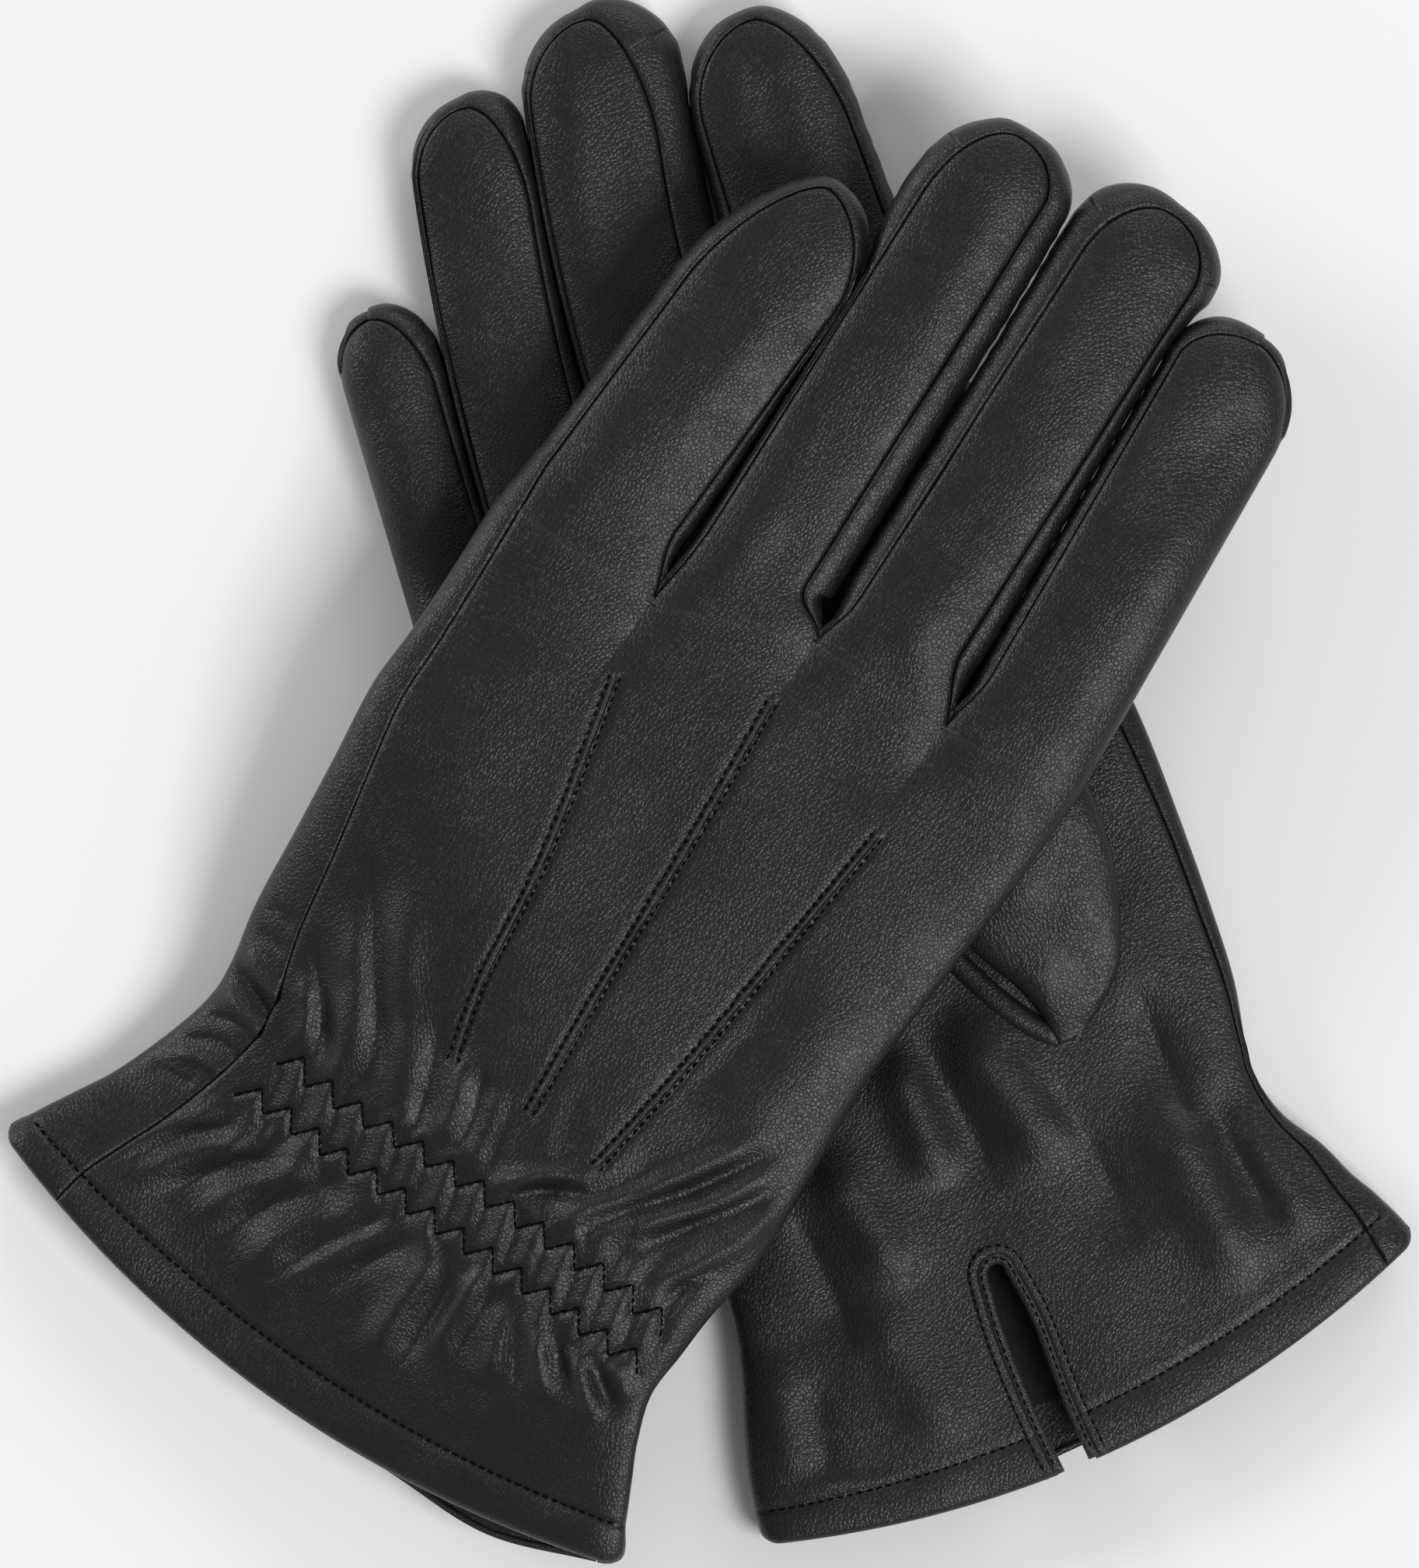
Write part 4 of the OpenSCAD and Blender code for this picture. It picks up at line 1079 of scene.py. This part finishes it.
def skirt_of(g, i, s):
    """The leather between a finger's top and underside, all round its edge, and its outward directions."""
    own, far = ends_of(g)
    so, lat, line, out, little = outline_of(g, i, s)
    width, grow = side_widths(g, i, s, so, lat, out, little)
    seam_edge = (little == (own == 0))[:, None]
    rise = (finger_h(g, i, so) * finger_rise(g, i, so, lat))[:, None]
    wide = width[:, None]
    tau = np.concatenate([TAU, 1 - TAU[::-1][1:]])
    arc = tau * math.pi
    reach = np.minimum(tau, 1 - tau)[None] * math.pi * np.sqrt((wide**2 + rise**2) / 2)
    dip = roll(reach) * sstep(so / 1.8)[:, None]
    if i == far:
        dip = np.where(seam_edge, dip, dip * turned_both(g, i, s)[:, None])
    if i == own:
        dip = np.where((tau > 0.5)[None] & seam_edge, 0, dip)
    rng = np.random.RandomState(50 + i)
    pucker = np.sin(so * 1.3 + rng.uniform(0, 6) + 1.3 * np.sin(so * 0.7))[:, None]
    wrinkle = 0.07 * pucker * np.sin(arc)
    lateral = wide * np.sin(arc) + wrinkle * grow[:, None] * np.minimum(1, wide)
    xy = line[:, None] + out[:, None] * lateral[..., None]
    z = lie(g, line)[:, None] + (rise * np.cos(arc) + dip * np.sign(np.cos(arc))[None])
    skirt = np.concatenate([xy, z[..., None]], -1)
    outward = np.concatenate([out, np.zeros((len(out), 1))], 1)[:, None] * np.ones((1, len(tau), 1))
    return skirt, outward


def finger_lining(g, i, name, bodies):
    length = finger(g, i)[3]
    s = np.linspace(0, length - 4.5, 46)
    lo, hi = finger_w(g, i, s)
    cx, cz = rounded_box(33, 2.6)
    half, mid = (lo + hi)[:, None] / 2 - 1.5, (hi - lo)[:, None] / 2
    xy = finger_xy(g, i, s[:, None], mid + half * cx[:-1])
    z = (finger_h(g, i, s)[:, None] - 2.2) * cz[:-1] * 0.86
    ring = np.concatenate([xy, (lie(g, xy) + z)[..., None]], -1)
    ring = np.concatenate([ring, ring[:, :1]], 1)
    centre = ring[:, :-1].mean(1, keepdims=True)
    ob, _, _ = shell(name, [(ring, ring - centre, None)], LINING_THICK)
    finish_piece(ob, "lining", [name], blend=bodies)


def rounded_box(n, power):
    """n places round a section between an oval and a rectangle, the last on the first."""
    ang = np.linspace(0, 2 * math.pi, n)
    c, s = np.cos(ang), np.sin(ang)
    return np.sign(c) * np.abs(c) ** (2 / power), np.sign(s) * np.abs(s) ** (2 / power)


def build_finger(g, i, top_row, under_row, strip_row):
    """One finger's leather and lining.

    Returns its top and underside as grids, as pieces and as skins, and the ends of its side strips
    that stay with the hand.
    """
    own, _ = ends_of(g)
    s = finger_rows(g, i)
    top, under = finger_sheet(g, 1, i, s, NC), finger_sheet(g, -1, i, s, NB)
    top[0] = top_row[i * (NC - 1):i * (NC - 1) + NC]
    under[0] = under_row[i * (NB - 1):i * (NB - 1) + NB]
    skirt, out = skirt_of(g, i, s)
    if i == own:
        skirt[0 if own == 0 else -1, :10] = strip_row
    last = len(skirt)
    fold = finger(g, i)[-1]
    cut = np.searchsorted(s, s[-1] - 7)
    stub = np.searchsorted(s, fold - 8.2 if g is left else fold - 12)

    def part(a, b):
        return skirt[a:b], out[a:b], None

    under_parts = [(under, -Z, None), part(cut, last - cut)]
    side_parts, stubs = [], []
    for side, edge in ((0, part(0, cut + 1)), (3, part(last - cut - 1, last))):
        if i == side:
            under_parts.append(edge)
        elif side == 0:
            side_parts.append(part(stub, cut + 1))
            stubs.append(part(0, stub + 1))
        else:
            side_parts.append(part(last - cut - 1, last - stub))
            stubs.append(part(last - stub - 1, last))
    bodies = fold_of(g, i)
    piece = f"{g.name}_{NAMES[i]}_"
    top_ob, *top_skin = shell(piece + g.top, [(top, Z, None)], LEATHER_THICK)
    finish_piece(top_ob, "leather", [piece + g.top], blend=bodies)
    under_ob, *under_skin = shell(piece + g.under, under_parts, LEATHER_THICK)
    finish_piece(under_ob, "leather", [piece + g.under], blend=bodies)
    side_ob, _, _ = shell(piece + "sides", side_parts, SIDE_THICK)
    finish_piece(side_ob, "leather", [piece + "sides"], blend=bodies)
    finger_lining(g, i, piece + "lining", bodies)
    return ((top, Z, None), (under, -Z, None)), [top_ob, under_ob], (top_skin, under_skin), stubs


def hand_lining(g, v, vent, vent_up):
    """A band all round, from inside the hem to the knuckles."""
    v = v[np.searchsorted(v, 1.05)::3]
    V, u, x, f = hand_grid(g, -1, v, 20)
    hole = vent_loop(vent, 1.6)

    def keep(xy):
        return ~inside(xy, hole)

    def inner(up):
        p = hand_points(g, up, V, u, x, f, None, np.full((len(v), 1), float(AWAY)))
        q = 2 * u - 1
        across = unit(through(g.r, v) - through(g.l, v))[:, None]
        p[..., :2] -= across * (q * 1.7)[..., None]
        p[..., 2] -= up * np.minimum(1.75 * prof(q, 6), 1.75)
        return p

    upper, lower = inner(1), inner(-1)
    for edge in (0, -1):
        upper[:, edge] = lower[:, edge] = (upper[:, edge] + lower[:, edge]) / 2
    name = f"{g.name}_hand_lining"
    parts = [(upper, Z, keep if vent_up > 0 else None), (lower, -Z, keep if vent_up < 0 else None)]
    ob, _, _ = shell(name, parts, 0.55)
    finish_piece(ob, "lining", [name], g.name + "_hand")


def wrist_elastic(g, v, sheet, u):
    """The band under the shirring of the back."""
    side = 1 if g is left else -1
    lo, hi = np.searchsorted(u[0], 0.14), np.searchsorted(u[0], 0.95)
    band = sheet[(v > 3.9) & (v < 5.6)][::2, lo:hi:2].copy()
    band[..., 2] -= side * 1.15
    name = f"{g.name}_wrist_elastic"
    ob, _, _ = shell(name, [(band, Z * side, None)], 0.35)
    finish_piece(ob, "elastic", [name], g.name + "_hand")


def build(g):
    """All the leather, lining and elastic of a glove. Returns its outer surfaces and its vent."""
    own, _ = ends_of(g)
    hand = g.name + "_hand"
    v, s_mid, v_mid = rows_of(g)
    hem = np.interp(v, v_mid, s_mid)[:, None]
    seam, w = seam_x(g, v)
    SEAM[g] = hand_xy(g, v, (own + (seam + 1) / 2) / 4)[::4]
    vent, vent_up = (VENT_R, 1) if g is right else (VENT_L, -1)
    hole = vent_loop(vent, 1.0)

    def keep(xy):
        return ~inside(xy, hole)

    top, top_u, sheet = hand_top(g, v, hem, w)
    name = f"{g.name}_{g.top}_panel"
    top_ob, _, _ = shell(name, [(sheet, Z, keep if vent_up > 0 else None)], LEATHER_THICK)
    finish_piece(top_ob, "leather", [name], hand)
    under, under_u = hand_under(g, v, hem, w)
    strip = wrapped_strip(g, v, hem, seam, w)
    name = f"{g.name}_{g.under}_panel"
    under_parts = [(under, -Z, keep if vent_up < 0 else None), (strip, Z, None)]
    under_ob, _, _ = shell(name, under_parts, LEATHER_THICK)
    finish_piece(under_ob, "leather", [name], hand)

    strip_row = strip[-1, ::3]
    top_grids, under_grids = [(sheet, Z, None)], [(under, -Z, None), (strip, Z, None)]
    tops, unders = [sew(top_grids)], [sew(under_grids)]
    sheets, stubs = [top_ob, under_ob], []
    for i in range(4):
        grids, pieces, skins, strips = build_finger(g, i, top[-1], under[-1], strip_row)
        top_grids.append(grids[0])
        under_grids.append(grids[1])
        sheets += pieces
        tops.append(skins[0])
        unders.append(skins[1])
        stubs += strips
    share_normals(sheets, [top_grids, under_grids], [top[-1], np.concatenate([under[-1], strip_row])])
    name = f"{g.name}_fourchettes"
    ob, _, _ = shell(name, stubs, SIDE_THICK)
    finish_piece(ob, "leather", [name], hand)
    hand_lining(g, v, vent, vent_up)
    wrist_elastic(g, v, *((top, top_u) if g is left else (under, under_u)))
    return tops, unders, vent


# ---------------------------------------------------------------- sewing on a finished surface
def joined(meshes):
    """Several meshes as one: places and faces."""
    starts = np.cumsum([0] + [len(v) for v, _ in meshes])
    return np.vstack([v for v, _ in meshes]), np.vstack([f + k for (_, f), k in zip(meshes, starts)])


class Surface:
    """A skin that is looked at from above (up 1) or from below (up -1)."""

    def __init__(self, meshes, up):
        verts, faces = joined(meshes)
        self.tree = BVHTree.FromPolygons(verts.tolist(), faces.tolist())
        self.up = up

    def at(self, p):
        hit = self.tree.ray_cast(Vector((p[0], p[1], 60 * self.up + 15)), Vector((0, 0, -self.up)))
        if hit[0] is None:
            return None, None
        n = np.array(hit[1])
        return np.array(hit[0]), n * (1 if n[2] * self.up > 0 else -1)


def corner_steps(path, pitch):
    """Places along a path at about the pitch, one of them on every corner."""
    out = []
    for a, b in zip(path[:-1], path[1:]):
        n = max(1, int(round(np.linalg.norm(b - a) / pitch)))
        out += [mix(a, b, k / n) for k in range(n)]
    return np.array(out + [path[-1]])


def stitch(surf, a, b, part, r, lift):
    """One short fat length of thread that dips at both ends, or None where there is nothing to sew on."""
    along = (0, 0.25, 0.5, 0.75, 1)
    got = [surf.at(mix(a, b, (1 - part) / 2 + part * k)) for k in along]
    if any(h[0] is None for h in got):
        return None
    dirn = unit(got[-1][0] - got[0][0])
    rings = []
    for k, (p, n) in zip(along, got):
        side = unit(np.cross(n, dirn))
        arch = math.sin(math.pi * k)
        c = p + n * (lift - 0.16 + 0.2 * arch)
        rr = r * (0.55 + 0.45 * arch)
        round_it = np.arange(6) * math.pi / 3
        rings.append([c + side * rr * math.cos(t) + n * rr * math.sin(t) for t in round_it])
    v, f = tube_mesh(np.array(rings))
    end = len(v) - 6
    caps = [[0, 1, 2, 3], [0, 3, 4, 5], [end + 3, end + 2, end + 1, end], [end + 5, end + 4, end + 3, end]]
    return v, np.vstack([f[:, ::-1], caps])


def thread_run(surf, path, pitch=1.6, part=0.72, r=0.2, lift=0.1, corners=False):
    """Stitches along a path."""
    pts = corner_steps(path, pitch) if corners else resample(path, pitch)
    stitches = [stitch(surf, a, b, part, r, lift) for a, b in zip(pts[:-1], pts[1:])]
    return joined([s for s in stitches if s])


def sewn(name, runs, body, replaced=True, **how):
    """One piece of thread from rows of (surface, path)."""
    ob = add_mesh(name, *joined([thread_run(surf, path, **how) for surf, path in runs]))
    finish_piece(ob, "thread", [name] if replaced else [], body)


def ridge(surf, path, wide, high, sink=0.1, taper_run=3.0, shape=2.0):
    """A raised strip of leather along a path on a surface."""
    step = 0.5
    path = resample(path, step)
    side = right_of(unit(np.gradient(path, axis=0)))
    rings = []
    for i, centre in enumerate(path):
        end = min(i, len(path) - 1 - i) * step
        s = float(np.clip(end / taper_run, 0.12, 1)) ** 0.6
        row = []
        for t in np.linspace(-1, 1, 9):
            p = centre + side[i] * t * wide / 2
            h, _ = surf.at(p)
            if h is None:
                h, _ = surf.at(centre)
            if h is None:
                break
            row.append([p[0], p[1], h[2] + surf.up * (high * s * prof(t, shape) - sink)])
        if len(row) == 9:
            rings.append(row)
    return np.array(rings)


def hem_path(g, u0, u1):
    v_mid = np.linspace(0, 3, 400)
    mid = hand_xy(g, v_mid, np.full(v_mid.shape, 0.5))
    s = np.concatenate([[0], np.cumsum(np.linalg.norm(np.diff(mid, axis=0), axis=1))])
    v = float(np.interp(HEM_ROW, s, v_mid))
    return hand_xy(g, v, np.linspace(u0, u1, 60))


def across_hand(g, a, b):
    """A line over a hand between two places (v, u)."""
    steps = [mix(np.array(a), np.array(b), t) for t in np.linspace(0, 1, 30)]
    return np.array([hand_xy(g, np.array(v), np.array(u)) for v, u in steps])


def right_zigzag(v):
    """The corners of a zigzag row on the hidden back of the right glove."""
    corners = [(v + (0.22 if k % 2 else -0.22), mix(0.13, 0.95, k / 30)) for k in range(31)]
    return np.array([hand_xy(right, np.array(a), np.array(b)) for a, b in corners])


def add_hem_stitches(g, palm, back):
    """One row round the cuff, with a break at the vent."""
    runs = [(back, 0.01, 0.985), (palm, 0.015, 0.405), (palm, 0.485, 0.985)]
    runs = [(surf, hem_path(g, a, b)) for surf, a, b in runs]
    sewn(f"{g.name}_hem_stitches", runs, g.name + "_hand")


def add_shirring(g, back):
    rows = ZIG if g is left else [right_zigzag(v) for v in (4.35, 5.15)]
    how = dict(pitch=1.5, part=0.97, r=0.21, lift=0.14, corners=True)
    sewn(f"{g.name}_shirring_stitches", [(back, row) for row in rows], g.name + "_hand", **how)


def add_points(g, back):
    """Three raised seams, with a row of stitches on each side."""
    lines = POINT_LINES if g is left else [across_hand(g, a, b) for a, b in RIGHT_POINTS]
    high = 0.6 if g is left else 0.3
    parts = [(ridge(back, line, 1.15, high), Z * back.up, None) for line in lines]
    ob, _, _ = shell(f"{g.name}_points", parts, 0.3)
    finish_piece(ob, "leather", [f"{g.name}_points"], g.name + "_hand")
    rows = [(back, beside(line, off)) for line in lines for off in (-0.85, 0.85)]
    sewn(f"{g.name}_point_stitches", rows, g.name + "_hand", replaced=False, part=0.7)


def add_vent_binding(g, palm, vent):
    """Two rolled strips round the vent, side by side, each with a row of stitches."""
    parts = []
    for off, high in ((0.75, 0.75), (2.3, 0.6)):
        parts.append((ridge(palm, vent_loop(vent, off), 1.9, high, 0.15, 0.6, 2.4), Z * palm.up, None))
    ob, *skin = shell(f"{g.name}_vent_binding", parts, 0.8)
    finish_piece(ob, "binding", [f"{g.name}_vent_binding"], g.name + "_hand")
    bound = Surface([skin], palm.up)
    rows = [(bound, vent_loop(vent, off)[2:-2]) for off in (0.95, 2.9)]
    sewn(f"{g.name}_vent_stitches", rows, g.name + "_hand", replaced=False, pitch=1.5, r=0.17, lift=0.08)


# ---------------------------------------------------------------- thumbs, folded flat between the gloves
THUMB_Z = 15.5


def pouch(base, tip, lefts, rights, half, low):
    """A flat pouch: lefts and rights are its two half widths at even steps from the base to the tip."""
    base, tip = np.array(base, float), np.array(tip, float)
    length = np.linalg.norm(tip - base)
    d = (tip - base) / length
    n = np.array([d[1], -d[0]])
    start, end = [0, 0.003, 0.008, 0.016, 0.028], [0.965, 0.978, 0.988, 0.995, 1]
    t = np.concatenate([start, np.linspace(0.045, 0.95, 90), end])
    wl = np.maximum(0.3, through(np.array(lefts)[:, None], t * (len(lefts) - 1))[:, 0])
    wr = np.maximum(0.3, through(np.array(rights)[:, None], t * (len(rights) - 1))[:, 0])
    close = np.minimum(sstep(t / 0.10 + 0.25), sstep((1 - t) / 0.12 + 0.2))
    cx, cz = rounded_box(73, 2.4)
    lat = np.where(cx < 0, wl[:, None] * cx, wr[:, None] * cx)
    xy = base + d * (t * length)[:, None, None] + n * lat[..., None]
    up = sstep(t / 0.42)[:, None]
    z = mix(low[0], THUMB_Z, up) + mix(low[1], half, up) * close[:, None] * cz
    wavy = 0.35 * waves(xy, 13, 31) * (cz > 0) * np.abs(cz)
    ring = np.concatenate([xy, (z + wavy)[..., None]], -1)
    ring[:, -1] = ring[:, 0]
    centre = ring[:, :-1].mean(1, keepdims=True)
    return ring, ring - centre


def add_thumb(g, top, base, tip, lefts, rights, low):
    """The rolled leather of a thumb with its lining, and the folded flap where it leaves the right palm."""
    parts = [(*pouch(base, tip, lefts, rights, 4.1, low), None)]
    if g is right:
        flap = [(37, -25.6), (42, -30.8), (46.8, -35), (52, -38.7), (57.4, -41)]
        parts.append((ridge(top, smooth_path(flap, 1), 4.2, 1.5, 0.3, 2.5), Z, None))
    name = g.name + "_thumb_leather"
    ob, _, _ = shell(name, parts, 0.9)
    finish_piece(ob, "leather", [name], g.name + "_thumb")
    lefts, rights = [max(0.4, a - 1.8) for a in lefts], [max(0.4, a - 1.8) for a in rights]
    ring, out = pouch(base, tip, lefts, rights, 2.6, (low[0], low[1] - 1.3))
    name = g.name + "_thumb_lining"
    ob, _, _ = shell(name, [(ring[4:-6], out[4:-6], None)], LINING_THICK)
    finish_piece(ob, "lining", [name], g.name + "_thumb")


built = {g: build(g) for g in (right, left)}
seen = {}
for g in (right, left):
    tops, unders, _ = built[g]
    seen[g] = Surface(tops + unders, 1), Surface(unders + tops, -1)

for g in (left, right):
    palm, back = seen[g][::-1] if g is left else seen[g]
    add_hem_stitches(g, palm, back)
    add_shirring(g, back)
    add_points(g, back)
    add_vent_binding(g, palm, built[g][2])

add_thumb(right, seen[right][0], (57.2, -41.8), (38.2, 41.8),
          [0.8, 4.3, 10.6, 15.2, 15.8, 14.5, 13, 12, 11, 9, 0.5],
          [2.2, 10.2, 12.9, 14, 13.7, 12.5, 12, 11.6, 10.8, 8.6, 0.5], (11.6, 1.9))
LEFT_THUMB = [3.5, 9.6, 11, 11, 11, 10.8, 10.6, 10.4, 10, 8.4, 0.5]
add_thumb(left, seen[left][0], (3.5, -41.5), (11.6, 39.8), LEFT_THUMB, LEFT_THUMB, (THUMB_Z, 3.2))

# ---------------------------------------------------------------- floor and light
floor = bpy.data.objects.new("floor", bpy.data.meshes.new("floor"))
corners = [(x, y, -0.0004) for x, y in ((-3, -3), (3, -3), (3, 3), (-3, 3))]
floor.data.from_pydata(corners, [], [(0, 1, 2, 3)])
bpy.context.scene.collection.objects.link(floor)
paper = bpy.data.materials.new("paper")
_, _, white = nodes_of(paper)
white.inputs["Base Color"].default_value = (0.9, 0.9, 0.9, 1)
white.inputs["Roughness"].default_value = 0.9
white.inputs["Specular IOR Level"].default_value = 0.1
floor.data.materials.append(paper)

world = bpy.data.worlds.new("studio")
bpy.context.scene.world = world
world.use_nodes = True
world.node_tree.nodes["Background"].inputs["Color"].default_value = (1, 1, 1, 1)
world.node_tree.nodes["Background"].inputs["Strength"].default_value = 0.28


def light(name, where, size, power):
    data = bpy.data.lights.new(name, "AREA")
    data.shape = "RECTANGLE"
    data.size, data.size_y = size
    data.energy = power
    ob = bpy.data.objects.new(name, data)
    bpy.context.scene.collection.objects.link(ob)
    ob.location = where
    ob.rotation_mode = "QUATERNION"
    ob.rotation_quaternion = (-Vector(where)).to_track_quat("-Z", "Y")


light("key", (1.1, -0.8, 1.9), (1.0, 1.0), 33)
light("fill", (-1.7, 0.9, 0.8), (1.0, 0.7), 18)
light("head", (0.5, 1.8, 0.9), (1.4, 0.6), 12)
bpy.context.scene.view_settings.view_transform = "Standard"
